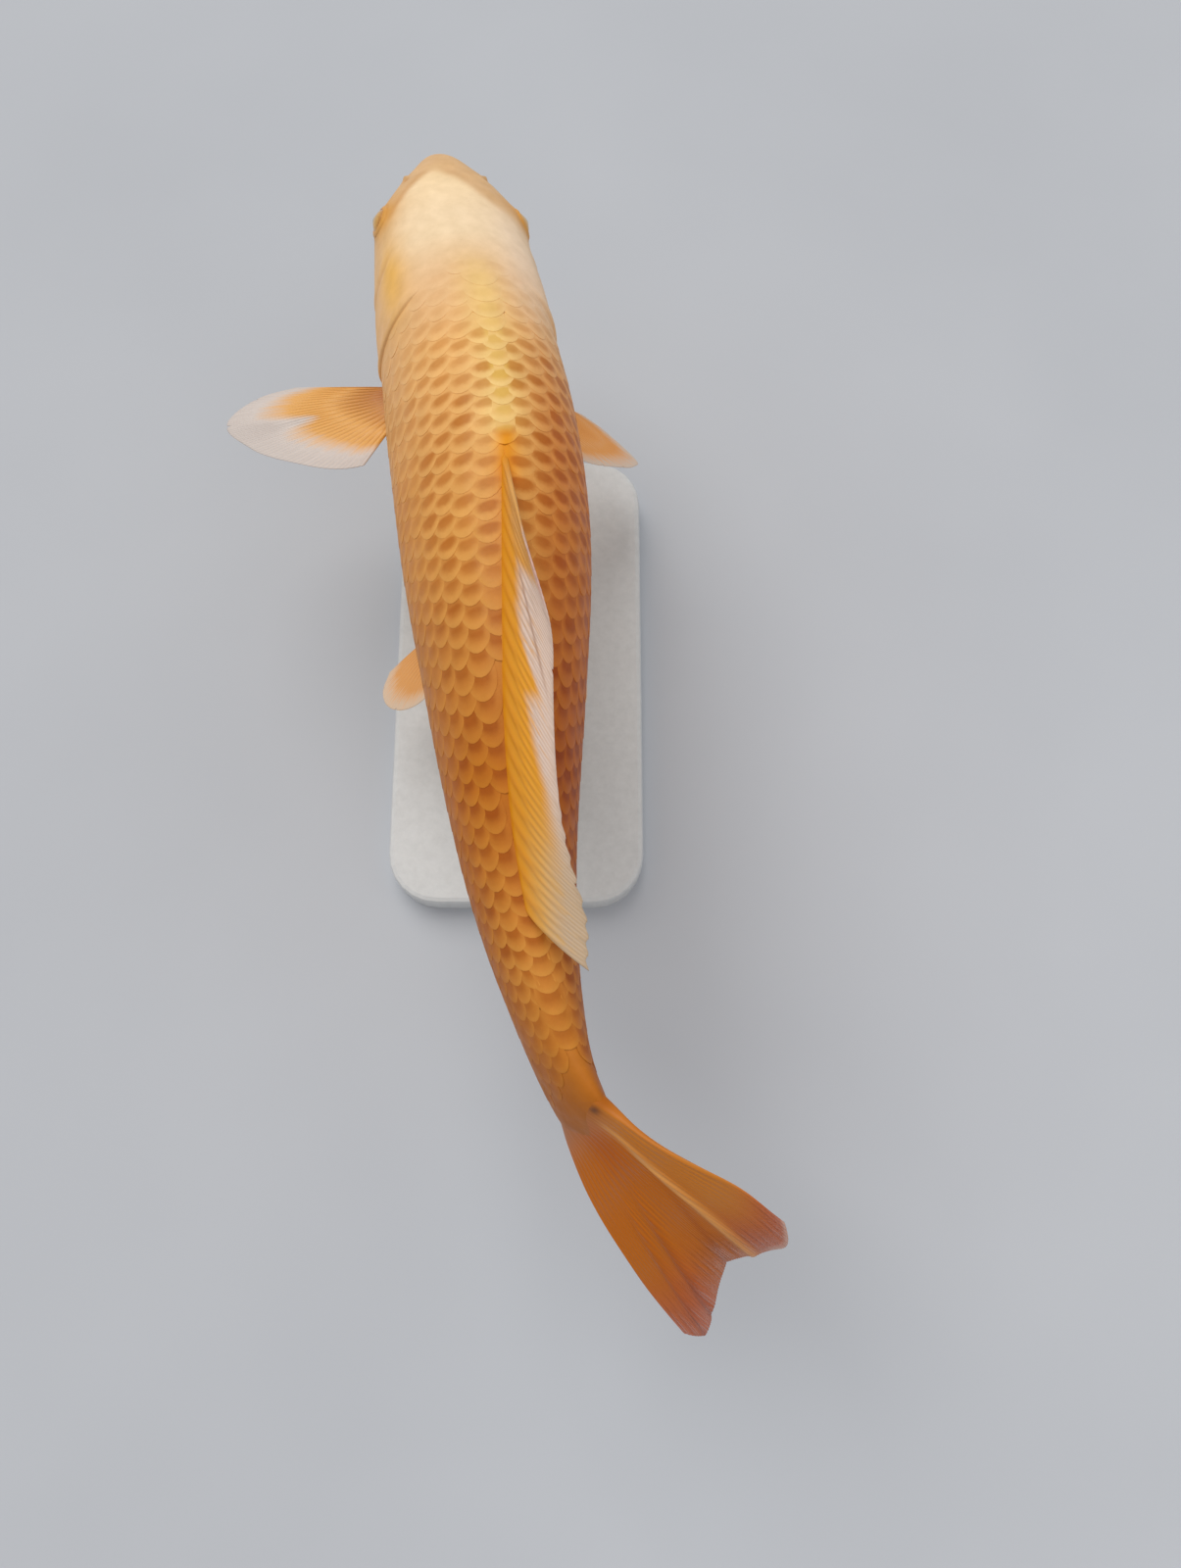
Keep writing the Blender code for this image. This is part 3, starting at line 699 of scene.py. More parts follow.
def snoutRelief(share, up):  # the rim's inner groove, two openings to each nostril with a flap between, and painted shade in the groove and the openings
    line = np.interp(share, (0.055, 0.066, 0.081, 0.106, 0.13), (84, 74, 64, 51, 41))
    brim = hump(up, line, 5.0) * ease(share, 0.058, 0.075) * ease(share, 0.125, 0.105)
    openings = [hump(share, at, wide) * hump(up, level, tall) for at, level, wide, tall in skin["nostrils"]]
    pits = np.max(openings, axis=0)
    flap = hump(share, 0.0647, 0.0016) * hump(up, 42.5, 4.2)
    mound = hump(share, 0.065, 0.012) * hump(up, 42, 9)
    height = skin["nostrilFlap"] * flap + skin["nostrilMound"] * mound
    height -= skin["nostrilPits"] * pits + skin["brim"] * brim
    return height, brim * 0.12 + pits * 0.9


def skinRelief(share, angle, points):
    up, behind = elevation(angle), share - gillShare(angle)
    flankPart = ease(up, 58, 38)
    scaled = mix(ease(behind, -0.035, 0.02), ease(behind, -0.001, 0.002), flankPart)
    base = -mix(skin["bare"], skin["underScales"], scaled)
    base = mix(base, -2 * skin["bare"], ease(share, 0.945, 0.985))
    base = base - skin["tailTaper"] * ease(share, 0.995, 1.04)
    (cover, coverShade), (throat, throatShade), (snout, snoutShade) = (
        coverRelief(share, behind, up, flankPart), throatRelief(share, behind, up), snoutRelief(share, up))
    mouth, lips, slit = mouthRelief(points)
    height = base + cover + throat + snout + mouth + eyeRelief(points)
    # the last value is painted shade for the grooves, pits, seams and the mouth's slit
    return height * mm, lips, np.clip(coverShade + throatShade + snoutShade + slit, 0, 1)


def makeSkin():
    rings = sum(len(part) for part in skinRings())
    mesh, across, ring = gridMesh("koiSkin", skin["around"], rings)
    angle = np.radians(-90 + 360 * across / skin["around"])
    share = skinShare(np.minimum(ring, rings - 1), angle)
    points = bodyPoint(share, angle)
    capped = ring == rings
    points[capped] = place(share[capped], 0.0, section(share[capped])[3])
    setCoordinates(mesh, points)
    setMap(mesh, 0.01 + 0.98 * across / skin["around"], 0.01 + 0.98 * ring / rings)
    setBodyPlace(mesh, share, angle)
    closeSeams(mesh)
    share, side, height = readRows(mesh.attributes["bodyPlace"].data, "vector").T
    points = coordinates(mesh)
    lift, lips, creaseShade = skinRelief(share, np.arctan2(height, side), points)
    setCoordinates(mesh, points + coordinates(mesh, "normal") * lift[:, None])
    setLipsAndCreaseShade(mesh, lips, creaseShade)
    addPiece("koiSkin", mesh, skinFinish, (
        "head", "gill_cover_left", "gill_cover_right", "upper_lip", "lower_lip",
        "trunk_front", "trunk_rear", "tail_stalk"))


makeSkin()
print("skin done")

# scales
scales = {
    "pitch": (6.3, 4.7),  # mm along the fish, at the shoulder and the tail
    "rowPitch": (6.7, 4.9),  # mm round the body
    "rowShift": 0.42,  # how far each row sits behind the one below it, in pitches
    "ridgeShift": (0.18, 0.44),  # the same for the row on the ridge, behind and before the dorsal fin
    "shares": (0.16, 1.05),  # where the rows begin and end, before the gill cover and the tail cut them
    "front": -1.15,  # ends of one scale, in pitches
    "rear": 0.62,
    "halfWidth": 0.74,  # in row pitches
    "step": 0.11,  # mm that a scale rises from one to the next
    "thick": 0.18,
    "rows": (-12, 11),
    "along": (0.0, 0.34, 0.62, 0.82, 0.94, 1.0),  # grid lines of one scale
    "across": (-1, -0.88, -0.62, -0.32, 0, 0.32, 0.62, 0.88, 1),
    "finFoot": (0.445, 0.842),  # shares that the dorsal fin's foot covers
    "spread": 10.0,  # gap between the scales in the array, before each goes to its place
}


def alongPitch(share):
    return mix(*scales["pitch"], ease(np.asarray(share, float), 0.60, 1.0)) * mm


def rowPitch(share):
    return mix(*scales["rowPitch"], ease(np.asarray(share, float), 0.42, 0.95)) * mm


def latticeShares():
    first, last = scales["shares"]
    shares = [first]
    while shares[-1] < last:
        shares.append(shares[-1] + alongPitch(shares[-1]) / fish["standardLength"])
    return np.array(shares)


def scaleTemplate():
    # one scale in lattice units, lying along x: domed on top, round behind, closed below
    front, rear, halfWidth = scales["front"], scales["rear"], scales["halfWidth"]
    columns, rows = len(scales["along"]) - 1, len(scales["across"]) - 1
    bm = bmesh.new()
    bmesh.ops.create_grid(bm, x_segments=columns, y_segments=rows, size=0.5)
    layer = bm.loops.layers.uv.new("OFBake")
    rim = {v for v in bm.verts if v.is_boundary}
    for vert in bm.verts:
        a = scales["along"][round((vert.co.x + 0.5) * columns)]
        b = scales["across"][round((vert.co.y + 0.5) * rows)]
        vert.co.x = mix(front, rear - 0.50 * b * b - 0.12 * b**6, a)
        vert.co.y = b * halfWidth * (0.80 + 0.20 * math.sin(math.pi * min(a * 0.8, 1)))
        vert.co.z = -0.08 * b * b - (0.03 if vert in rim else 0.0)
    made = bmesh.ops.extrude_face_region(bm, geom=list(bm.faces))["geom"]
    lower = [part for part in made if isinstance(part, bmesh.types.BMVert)]
    bmesh.ops.translate(bm, verts=lower, vec=(0, 0, -scales["thick"]))
    bmesh.ops.dissolve_faces(bm, faces=[part for part in made if isinstance(part, bmesh.types.BMFace)])
    bmesh.ops.delete(bm, geom=[v for v in bm.verts if not v.link_faces], context="VERTS")
    bmesh.ops.recalc_face_normals(bm, faces=bm.faces)
    bm.normal_update()
    for face in bm.faces:  # the top fills the map's cell, the sides and the underside its corner
        upper = face.normal.z > 0.5 and len(face.verts) == 4
        corner, size = (0.08, 0.84) if upper else (0.02, 0.02)
        for loop in face.loops:
            x = (loop.vert.co.x - front) / (rear - front)
            y = 0.5 + 0.5 * loop.vert.co.y / halfWidth
            loop[layer].uv = (corner + size * x, corner + size * y)
    return meshFrom(bm, "scaleTemplate")


def arrayOf(mesh, columns, rows):
    rig = linked("scaleArray", mesh)
    for count, way in ((columns, (scales["spread"], 0, 0)), (rows, (0, scales["spread"], 0))):
        array = rig.modifiers.new("repeat", "ARRAY")
        array.count = count
        array.use_relative_offset = False
        array.use_constant_offset = True
        array.constant_offset_displace = way
    return bakedMesh(rig)


def keepScale(share, arc, side):  # none on the head, under the dorsal fin, or past the stalk's end
    start, end = scales["finFoot"]
    half, pitch, angle = halfGirth(share), rowPitch(share), angleRound(share, arc)
    kept = share > gillShare(angle) + mix(-0.008, -0.003, ease(np.sin(angle), 0.9, 0.6))
    kept &= share < 0.985 - 0.030 * np.sin(angle) ** 2
    if not side:
        return kept & ~((share > start) & (share < end) & (np.abs(arc) < half / 2))
    clear = np.where((share > start - 0.008) & (share < end), 0.30, 0.42) * pitch
    return kept & (arc * side > clear) & (arc * side < half - 0.45 * pitch)


def makeScales(name, side):  # side 0 makes the single rows along the back and the belly
    shares = latticeShares()
    columns = len(shares) - 2
    rows = np.arange(*scales["rows"]) if side else np.array([0, 1])
    mesh = arrayOf(scaleTemplate(), columns, len(rows))
    flat, spread = coordinates(mesh), scales["spread"]
    col, row = (np.round(flat[:, i] / spread).astype(int) for i in (0, 1))
    x, y, z = flat[:, 0] - col * spread, flat[:, 1] - row * spread, flat[:, 2]
    jitter = chance.normal(0, 1, (columns * len(rows), 4))[row * columns + col]
    # the row on the ridge lies half a pitch off the rows beside it
    ridgeShift = np.where((row == 0) & (col > columns / 2), *scales["ridgeShift"])
    shift = (scales["rowShift"] * rows[row]) % 1 if side else ridgeShift
    middleColumn = col + shift + 0.04 * jitter[:, 0]
    size = 1 + 0.035 * jitter[:, 1]
    ticks = np.arange(len(shares))
    share = np.interp(middleColumn + x * size, ticks, shares)
    middle = np.interp(middleColumn, ticks, shares)
    if side:
        up = rows[row] + 0.03 * jitter[:, 2] + y * size
        arc = side * (np.interp(share, tableShares, flankArcs) - up * rowPitch(share))
        middleArc = side * (np.interp(middle, tableShares, flankArcs) - rows[row] * rowPitch(middle))
    else:
        wider = np.interp(middle, (0.28, 0.31, 0.80, 0.84), (1.20, 0.95, 0.95, 1.20))
        arc = row * halfGirth(share) + y * size * rowPitch(share) * wider
        middleArc = row * (halfGirth(middle) - 1e-6)
    angle, middleAngle = angleRound(share, arc), angleRound(middle, middleArc)
    fade = mix(1.0, 0.35, ease(middle, 0.84, 0.97))
    tilt = scales["step"] * fade * (x - scales["rear"]) + 0.02 * jitter[:, 3]
    first = ease(middle - gillShare(middleAngle), 0.035, -0.01) * ease(np.sin(middleAngle), 0.6, 0.9)
    grow = (tilt + z * fade - 0.14 * first + (0.0 if side else 0.05 * fade)) * mm
    setCoordinates(mesh, bodyPoint(share, angle, grow))
    setBodyPlace(mesh, share, angle)
    setField(mesh, "scalePlace", np.stack([x - scales["rear"] + 1, y / scales["halfWidth"], jitter[:, 0]], 1))
    setField(mesh, "lateralLine", ((rows[row] == 0) & bool(side)).astype(float))
    corners = cornerVertices(mesh)
    u, v = readRows(mesh.uv_layers["OFBake"].data, "uv", 2).T
    setMap(mesh, ((col + shift)[corners] + u) / (columns + 1), (row[corners] + v) / len(rows), True)
    kept = keepScale(middle, middleArc, side)
    bm = bmesh.new()
    bm.from_mesh(mesh)
    bm.verts.ensure_lookup_table()
    bmesh.ops.delete(bm, geom=[bm.verts[i] for i in np.flatnonzero(~kept)], context="VERTS")
    bmesh.ops.recalc_face_normals(bm, faces=bm.faces)
    bm.to_mesh(mesh)
    bm.free()
    addPiece(name, mesh, scaleFinish)
    mesh.set_sharp_from_angle(angle=math.radians(35))


scaleTones = {  # all but the last only multiply the skin's tone
    # pockets: pigment with the painted shadow of the scale ahead
    "pocketAndShadowLeft": (0.68, 0.46, 0.20),
    "pocketAndShadowRight": (0.72, 0.56, 0.36),
    "pocketAndShadowRidge": (0.86, 0.80, 0.46),
    # pale margin with a painted highlight along the rim
    "paleRimAndHighlight": (1.13, 1.28, 1.48),
    "lateralLine": (0.42, 0.20, 0.07),
}


def scaleMaterial():
    made, s, shader = newMaterial("koiScales", wetGloss)
    spot, where = s.spot(), s.field("bodyPlace")
    share, side, height = s.parts(where)
    tone = s.group(koiTone, Place=where, Spot=spot)["Color"]
    a, b, odd = s.parts(s.field("scalePlace"))
    inward = s.math("ABSOLUTE", b)
    bent = a + inward * inward * 0.45
    # oval of deeper pigment with the painted shadow of the scale ahead, crisp towards the head, its end near
    # the ridge further forward
    frayed = (s.noise(spot, 520.0, 3.0, 0.6) - 0.5) * 0.5
    leaning = a - 0.24 + b * s.smooth(share, 0.45, 0.75, 0.10, 0.05)
    rearPart = s.math("MAXIMUM", leaning, 0.0) / 0.46
    frontPart = s.math("MINIMUM", leaning, 0.0) / 0.22
    across = (b - 0.08) / 0.84
    reach = s.math("SQRT", rearPart * rearPart + frontPart * frontPart + across * across)
    dome = s.smooth(reach - odd * 0.06 + frayed, 1.08, 0.40)
    # towards the tail the pigment and a painted shadow start right under the scale ahead and fade to a round
    # pale rim
    grown = odd * 0.03 + frayed * -0.3
    under = s.smooth(bent - grown, 0.62, 0.12) * s.smooth(inward - grown, 0.84, 0.34)
    tailward = s.smooth(share, 0.46, 0.66)
    pocketAndShadow = dome * (1.0 - tailward) + under * tailward
    strength = s.smooth(share, 0.25, 0.375, 0.15, 1.0) * s.smooth(share, 0.84, 0.97, 1.0, 0.45)
    strength = strength * s.smooth(height, -0.8, 0.1, 0.15, 1.0) * s.smooth(odd, -2.4, 2.4, 0.60, 1.15)
    strength = strength * s.smooth(side, -0.96, -0.62, 0.35, 1.0) * s.smooth(side, 0.2, 0.7, 0.85, 1.15)
    ridge = s.gauss(side, 0.0, 0.10) * s.smooth(height, 0.6, 0.95) * s.smooth(share, 0.46, 0.42)
    deepest = s.blend(s.smooth(side, 0.45, 0.9), scaleTones["pocketAndShadowLeft"], scaleTones["pocketAndShadowRight"])
    deepest = s.blend(s.smooth(ridge, 0.2, 0.7), deepest, scaleTones["pocketAndShadowRidge"])
    tone = s.blend(pocketAndShadow * strength, tone, s.blend(1.0, tone, deepest, "MULTIPLY"))
    # pale margin at each scale's rear rim, with a painted highlight along it
    edge = s.smooth(bent, 0.52, 0.90) * s.smooth(share, 0.25, 0.36, 0.2, 1.0)
    edge = edge * s.smooth(share, 0.45, 0.7, 0.4, 0.75)
    tone = s.blend(edge, tone, s.blend(1.0, tone, scaleTones["paleRimAndHighlight"], "MULTIPLY"))
    line = s.field("lateralLine", "Fac") * s.gauss(b, 0.0, 0.09) * s.gauss(a, 0.45, 0.22)
    grain = s.group(wetGrain, Spot=spot)
    rings = s.math("SINE", bent * 95.0) * 0.12
    s.put(shader["Base Color"], s.blend(line * 0.55, tone, scaleTones["lateralLine"]))
    s.put(shader["Roughness"], grain["Roughness"])
    s.put(shader["Normal"], s.bump(grain["Height"] + rings, 0.30, 0.00012))
    return made


scaleFinish = scaleMaterial()
for name, side in (*sides.items(), ("Middle", 0)):
    makeScales("scales" + name, side)
print("scales done")

# eyeballs
eyeLook = {
    "pupil": 0.185,  # quarter turns from the middle of the pupil to its edge
    "lens": (0.30, 0.36),  # mm that the lens stands out, and its width in radii
    "rings": 32,
    "around": 56,
    "gold": (0.86, 0.46, 0.07),
    "ring": (0.95, 0.68, 0.20),
    "outer": (0.72, 0.30, 0.03),
    "dark": (0.16, 0.08, 0.02),
    "cloud": (0.20, 0.13, 0.03),
    "black": (0.006, 0.006, 0.008),
}
orbitRim = {  # mm from the eyeball's middle, and the height of the skin there
    "around": 72,
    "reach": (3.2, 3.45, 3.62, 3.72, 3.82, 3.95, 4.15, 4.4, 4.7, 5.0, 5.25, 5.45, 5.6),
    "rise": (-1.3, -0.6, 0.02, 0.38, 0.54, 0.62, 0.64, 0.62, 0.56, 0.46, 0.34, 0.16, -0.15),
    "lowered": 0.03,
}


def eyeMaterial():
    look, pupil = eyeLook, eyeLook["pupil"]
    wet = {"Specular IOR Level": 0.6, "Coat Weight": 1.0, "Coat Roughness": 0.03, "Roughness": 0.28}
    made, s, shader = newMaterial("eyeGold", wet)
    out, ahead, above = s.parts(s.field("eyePlace"))  # distance from the pupil, then directions
    spot = s.spot()
    wobble = out + (s.noise(spot, 900.0, 3.0) - 0.5) * 0.04
    iris = s.stops(wobble, (0.0, look["gold"]), (0.215, look["ring"]), (0.27, look["gold"]),
                   (0.50, look["gold"]), (0.66, look["outer"]), (0.9, look["dark"]))
    streak = s.noise(spot, 2600.0, 4.0, 0.7)
    iris = s.mottled(iris, streak, (0.3, (0.62, 0.58, 0.52)), (0.7, (1.1, 1.1, 1.1)))
    cloud = s.smooth(ahead, 0.15, 0.85) * s.smooth(above, -0.1, 0.5) * s.smooth(out, 0.30, 0.46)
    iris = s.blend(cloud * 0.75, iris, look["cloud"])
    s.put(shader["Base Color"], s.blend(s.smooth(wobble, pupil + 0.02, pupil - 0.02), iris, look["black"]))
    s.put(shader["Metallic"], s.smooth(wobble, pupil - 0.01, pupil + 0.03, 0.0, 0.35))
    s.put(shader["Normal"], s.bump(streak, 0.15, 0.0001))
    return made


eyeFinish = eyeMaterial()


def makeEye(side, label):
    centre, out, ahead, above = gazeFrame(side)
    radius, rings, (lens, lensWidth) = eyes["radius"], eyeLook["rings"], eyeLook["lens"]
    bm = bmesh.new()
    profile = []
    for i in range(rings + 1):  # from the pupil round to the back of the ball
        turn = math.pi * i / rings
        flat, deep = radius * math.sin(turn), radius * math.cos(turn)
        if turn < math.pi / 2:
            deep += lens * max(0.0, 1 - (flat / (lensWidth * radius)) ** 2)
        profile.append(bm.verts.new((flat, 0, deep)))
    edges = [bm.edges.new(pair) for pair in zip(profile, profile[1:])]
    bmesh.ops.spin(bm, geom=profile + edges, cent=(0, 0, 0), axis=(0, 0, 1), angle=2 * math.pi,
                   steps=eyeLook["around"], use_merge=True)
    bmesh.ops.remove_doubles(bm, verts=bm.verts, dist=1e-5)
    bmesh.ops.recalc_face_normals(bm, faces=bm.faces)
    mesh = meshFrom(bm, "eye")
    x, y, z = coordinates(mesh).T
    flat = np.hypot(x, y)
    wide = np.maximum(flat, 1e-6)
    setField(mesh, "eyePlace", np.stack([np.arctan2(flat, z) / (math.pi / 2), x / wide, y / wide], 1))
    setCoordinates(mesh, centre + (np.outer(x, ahead) + np.outer(y, above) + np.outer(z, out)) * mm)
    if side < 0:
        closeSeams(mesh)
    # the two halves of the ball lie side by side on the map
    setMap(mesh, np.where(z > -0.01, 0.25, 0.75) + x * 0.042, 0.5 + y * 0.042)
    addPiece("eye" + label, mesh, eyeFinish, ("eye_" + label.lower(),))


def makeOrbitRim(side, label):
    # soft ring of skin round the eyeball, tucked under it inside and under the skin outside
    turn = sideTurn(side, eyes["angle"])
    around, steps = orbitRim["around"], len(orbitRim["reach"]) - 1
    mesh, across, ring = gridMesh("orbitRim", around, steps)
    angle = 2 * np.pi * across / around
    flat, rise = (np.array(orbitRim[key])[ring.astype(int)] for key in ("reach", "rise"))
    away = bodyPoint(eyes["share"], turn + 0.01) - bodyPoint(eyes["share"], turn - 0.01)
    perRadian = np.linalg.norm(away) / 0.02 / mm
    share = eyes["share"] - flat * np.cos(angle) * mm / fish["standardLength"]
    where = turn + side * flat * np.sin(angle) / perRadian
    wrinkle = 0.04 * np.sin(angle * 9 + ring) * hump(flat, 4.4, 0.5)
    setCoordinates(mesh, bodyPoint(share, where, (rise + wrinkle - orbitRim["lowered"]) * mm))
    setMap(mesh, across / around, ring / steps)
    setBodyPlace(mesh, share, where)
    # painted shade where the rim tucks under the eyeball
    setLipsAndCreaseShade(mesh, np.zeros(len(share)), hump(flat, 3.7, 0.25) * 0.8)
    closeSeams(mesh)
    outward = (coordinates(mesh) - eyeFrame(side)[0]).mean(0)
    if (coordinates(mesh, "normal") @ outward).mean() < 0:
        mesh.flip_normals()
    addPiece("orbitRim" + label, mesh, skinFinish)


for label, side in sides.items():
    makeEye(side, label)
    makeOrbitRim(side, label)
print("eyes done")

barbels = {"Front": (0.026, -14, 7, 1.5), "Corner": (0.046, -30, 15, 1.8)}  # share, angle, length, thickness


def barbelRadius(t):  # 1 at the lip with a flare into it, half that at the rounded tip
    tip = math.sqrt(max(0.02, 1 - (max(t - 0.93, 0) / 0.07) ** 2))
    return (1 - 0.5 * t) * tip + 0.12 * math.exp(-((t / 0.12) ** 2))


def makeBarbel(side, share, angle, length, thick, steps=26):
    root = bodyPoint(share, sideTurn(side, angle), -1.2 * mm)
    back, right, top = directions(np.asarray(share))
    line = bpy.data.curves.new("barbel", "CURVE")
    line.dimensions = "3D"
    line.bevel_depth = thick / 2 * mm
    line.bevel_resolution = 5
    line.use_fill_caps = True
    spline = line.splines.new("POLY")
    spline.points.add(steps)
    for i, point in enumerate(spline.points):  # out from the lip, then down and back
        t = i / steps
        out = right * side * (3.6 + 0.13 * length) * math.sin(1.9 * t)
        down = top * -(0.74 * length) * math.sin(1.25 * t)
        trail = back * length * (0.18 * t + 0.40 * t * t)
        point.co = (*(root + (out + down + trail) * mm), 1)
        point.radius = barbelRadius(t)
    mesh = bakedMesh(linked("barbel", line))
    count = len(mesh.vertices)
    setField(mesh, "bodyPlace", np.tile([share, 0.8 * side, -0.35], (count, 1)))
    setLipsAndCreaseShade(mesh, np.full(count, 0.5), np.zeros(count))
    return mesh


for label, side in sides.items():
    for where, facts in barbels.items():
        node = f"barbel_{where}_{label}".lower()
        addPiece("barbel" + where + label, makeBarbel(side, *facts), skinFinish, (node,))
print("barbels done")

# fins
dorsal = {
    "base": (0.441, 0.834),
    "rays": ((0, 35, 28, 12), (0.08, 40, 27, 24), (0.16, 40, 27, 32), (0.30, 35, 29, 36),
             (0.60, 31, 32, 38), (0.85, 29, 36, 44), (1, 23, 38, 38)),  # place, length mm, sweep, tilt
    "count": 20,
    "sunk": 2.0,
}
tail = {
    "upper": 60, "lower": 70.5, "fork": 55, "spread": 37.4, "root": 16.5, "fold": 6.0, "bend": 3.2,  # mm
    "count": 19,
    "start": 0.995,  # share along the body
    # slant, place, depth in mm, and where along the rays it begins and is full
    "pleats": ((0.35, 0.61, 1.0, 0.35, 0.7), (0.35, 0.475, 0.9, 0.35, 0.7), (0.14, 0.815, 0.9, 0.1, 0.5)),
}
anal = {
    "base": (0.770, 0.852), "lengths": ((0, 37), (0.15, 38), (0.5, 29), (1, 19)), "sweep": (44, 34),
    "count": 8, "sunk": 2.0, "lean": 0.10,
}
# place across the fin, ray length in mm, its turn towards the tail in degrees
pectoralRays = ((0, 37, -12), (0.15, 50, -8), (0.35, 60, 0), (0.6, 52, 10), (0.8, 38, 26), (1, 23, 56))
pelvicRays = ((0, 36, -14), (0.2, 41, -7), (0.45, 40, 4), (0.75, 31, 18), (1, 19, 34))


def raised(base, length, sweep, sunk, v):  # share and height of a point on a ray that stands on the body
    reach = v * (length + sunk / np.sin(sweep))
    return base + reach * np.cos(sweep) * mm / fish["standardLength"], reach * np.sin(sweep) - sunk


def dorsalSheet(u, v):
    length, sweep, tilt = (tableCurve(dorsal["rays"], i, u) for i in (1, 2, 3))
    base = mix(*dorsal["base"], u)
    share, height = raised(base, length, np.radians(sweep), dorsal["sunk"], v)
    over = np.radians(tilt) * (0.65 + 0.5 * v)
    ridges = [section(at)[1] + section(at)[3] for at in (base, np.minimum(share, 1.0))]
    across = np.maximum(height, 0) * np.sin(over) * mm
    return place(share, across, mix(*ridges, v) + height * np.cos(over) * mm)


def tailSheet(u, v):
    w = 2 * u - 1
    upper, lower = np.maximum(w, 0), np.maximum(-w, 0)
    rounding = 6.7 * np.maximum(0.0, (np.abs(w) - 0.72) / 0.28) ** 2
    reach = mix(tail["fork"], np.where(w > 0, tail["upper"], tail["lower"]), np.abs(w) ** 0.9) - rounding
    bow = upper * (0.13 * hump(v, 0.76, 0.17) - 0.10 * hump(v, 0.32, 0.20)) - 0.06 * lower * hump(v, 0.5, 0.2)
    spread = np.copysign(np.abs(w) ** 0.92, w) * tail["spread"]
    up = mix(w * tail["root"], spread, v**0.61 * (1 - np.exp(-v / 0.06)) + bow)
    across = tail["fold"] * (1 - np.sqrt(w * w + 0.03)) * v**1.7 + tail["bend"] * upper**2 * v * v
    for slant, at, depth, start, full in tail["pleats"]:
        across = across - depth * hump(u + slant * v, at, 0.03) * ease(v, start, full)
    return place(tail["start"] + (reach + 1.5) * v * mm / fish["standardLength"], across * mm, up * mm)


def analSheet(u, v):
    base = mix(*anal["base"], u)
    sweep = np.radians(mix(*anal["sweep"], u))
    share, depth = raised(base, tableCurve(anal["lengths"], 1, u), sweep, anal["sunk"], v)
    _, _, drop, level, _ = section(base)
    return place(share, anal["lean"] * np.maximum(depth, 0) * mm, level - drop - depth * mm)


def pairedSheet(side, share, angle, sweep, droop, pitch, rays, root, curl):
    start = bodyPoint(share, sideTurn(side, angle), -2.5 * mm)
    back, right, top = directions(np.asarray(share, float))
    sweep, droop, pitch = (math.radians(a) for a in (sweep, droop, pitch))
    level = right * side * math.cos(sweep) + back * math.sin(sweep)
    outward = level * math.cos(droop) - top * math.sin(droop)
    rear = unit(back - outward * back.dot(outward))
    upper = np.cross(rear, outward) * -side
    chord = rear * math.cos(pitch) - upper * math.sin(pitch)
    normal = upper * math.cos(pitch) + rear * math.sin(pitch)

    def sheet(u, v):
        length, fan = tableCurve(rays, 1, u), np.radians(tableCurve(rays, 2, u))
        out, aft = v * length * np.cos(fan), v * length * np.sin(fan) + mix(-root, root, u)
        lift = curl * (v * length / 60) ** 2
        return start + (outward * out[..., None] + chord * aft[..., None] + normal * lift[..., None]) * mm

    return sheet


def cosine(turns):
    return 0.5 + 0.5 * np.cos(2 * np.pi * turns)


def rayRidges(u, v, count):  # 1 on a ray, 0 between; each ray forks twice on its way out
    phase = u * count
    single, double, quarter = cosine(phase), cosine(2 * phase + 0.5), cosine(4 * phase + 0.5)
    first, second = ease(v, 0.30, 0.52), ease(v, 0.58, 0.80)
    return mix(mix(single**1.6, double**1.4, first), quarter**1.3, second)


finBuild = {
    "rootThick": 2.0,  # mm
    "edgeThick": 0.5,
    "ray": 0.3,  # mm that the rays stand out
    "wave": 0.5,  # mm that the sheet swings to either side
    "foot": (2.1, 0.07),  # half thickness of the fleshy foot in mm, and how far up it reaches
    "ragged": 0.006,  # how far the margin draws back, as a share of the rays
    "tips": 0.0,  # the same between the rays of the rear half
    "splits": 2,
}


def raggedEdge(across, ridge, count, build):
    frays = chance.uniform(0, 1, count // 2 + 3)
    uneven = curveThrough(np.arange(len(frays)), frays, across * (count // 2 + 1))
    edge = build["ragged"] * (0.3 * (1 - ridge[:, -1:]) + 1.6 * uneven)
    for split in chance.uniform(0.1, 0.9, build["splits"]):
        edge = edge + 0.022 * hump(across, (round(split * count) + 0.5) / count, 0.005)
    return edge + build["tips"] * cosine(across * count + 0.5) * ease(across, 0.5, 0.7)


def finThickness(across, out, ridge, build):  # half of it, in mm; 0 all round the margin
    thick = mix(build["rootThick"], build["edgeThick"], 1 - (1 - out) ** 1.3) / 2
    beyond = ease(out, 0.08, 0.30)  # the foot of the fin is smooth
    thick = thick * mix(1.0, 0.62 + 0.38 * ridge, beyond)
    thick += build["ray"] * 0.35 * ridge * beyond * (1 - out) ** 0.7
    thick += 0.30 * hump(across, 0.0, 0.018) * (1 - 0.7 * out)
    flesh, height = build["foot"]
    thick = mix(thick, flesh * np.sqrt(1 - (0.94 * (2 * across - 1)) ** 2), hump(out, 0.0, height))
    thick *= bulge(np.clip((np.abs(2 * across - 1) - 0.965) / 0.035, 0, 1))
    thick *= bulge(np.clip((out - 0.984) / 0.016, 0, 1))
    thick[:, 0] = 0
    return thick


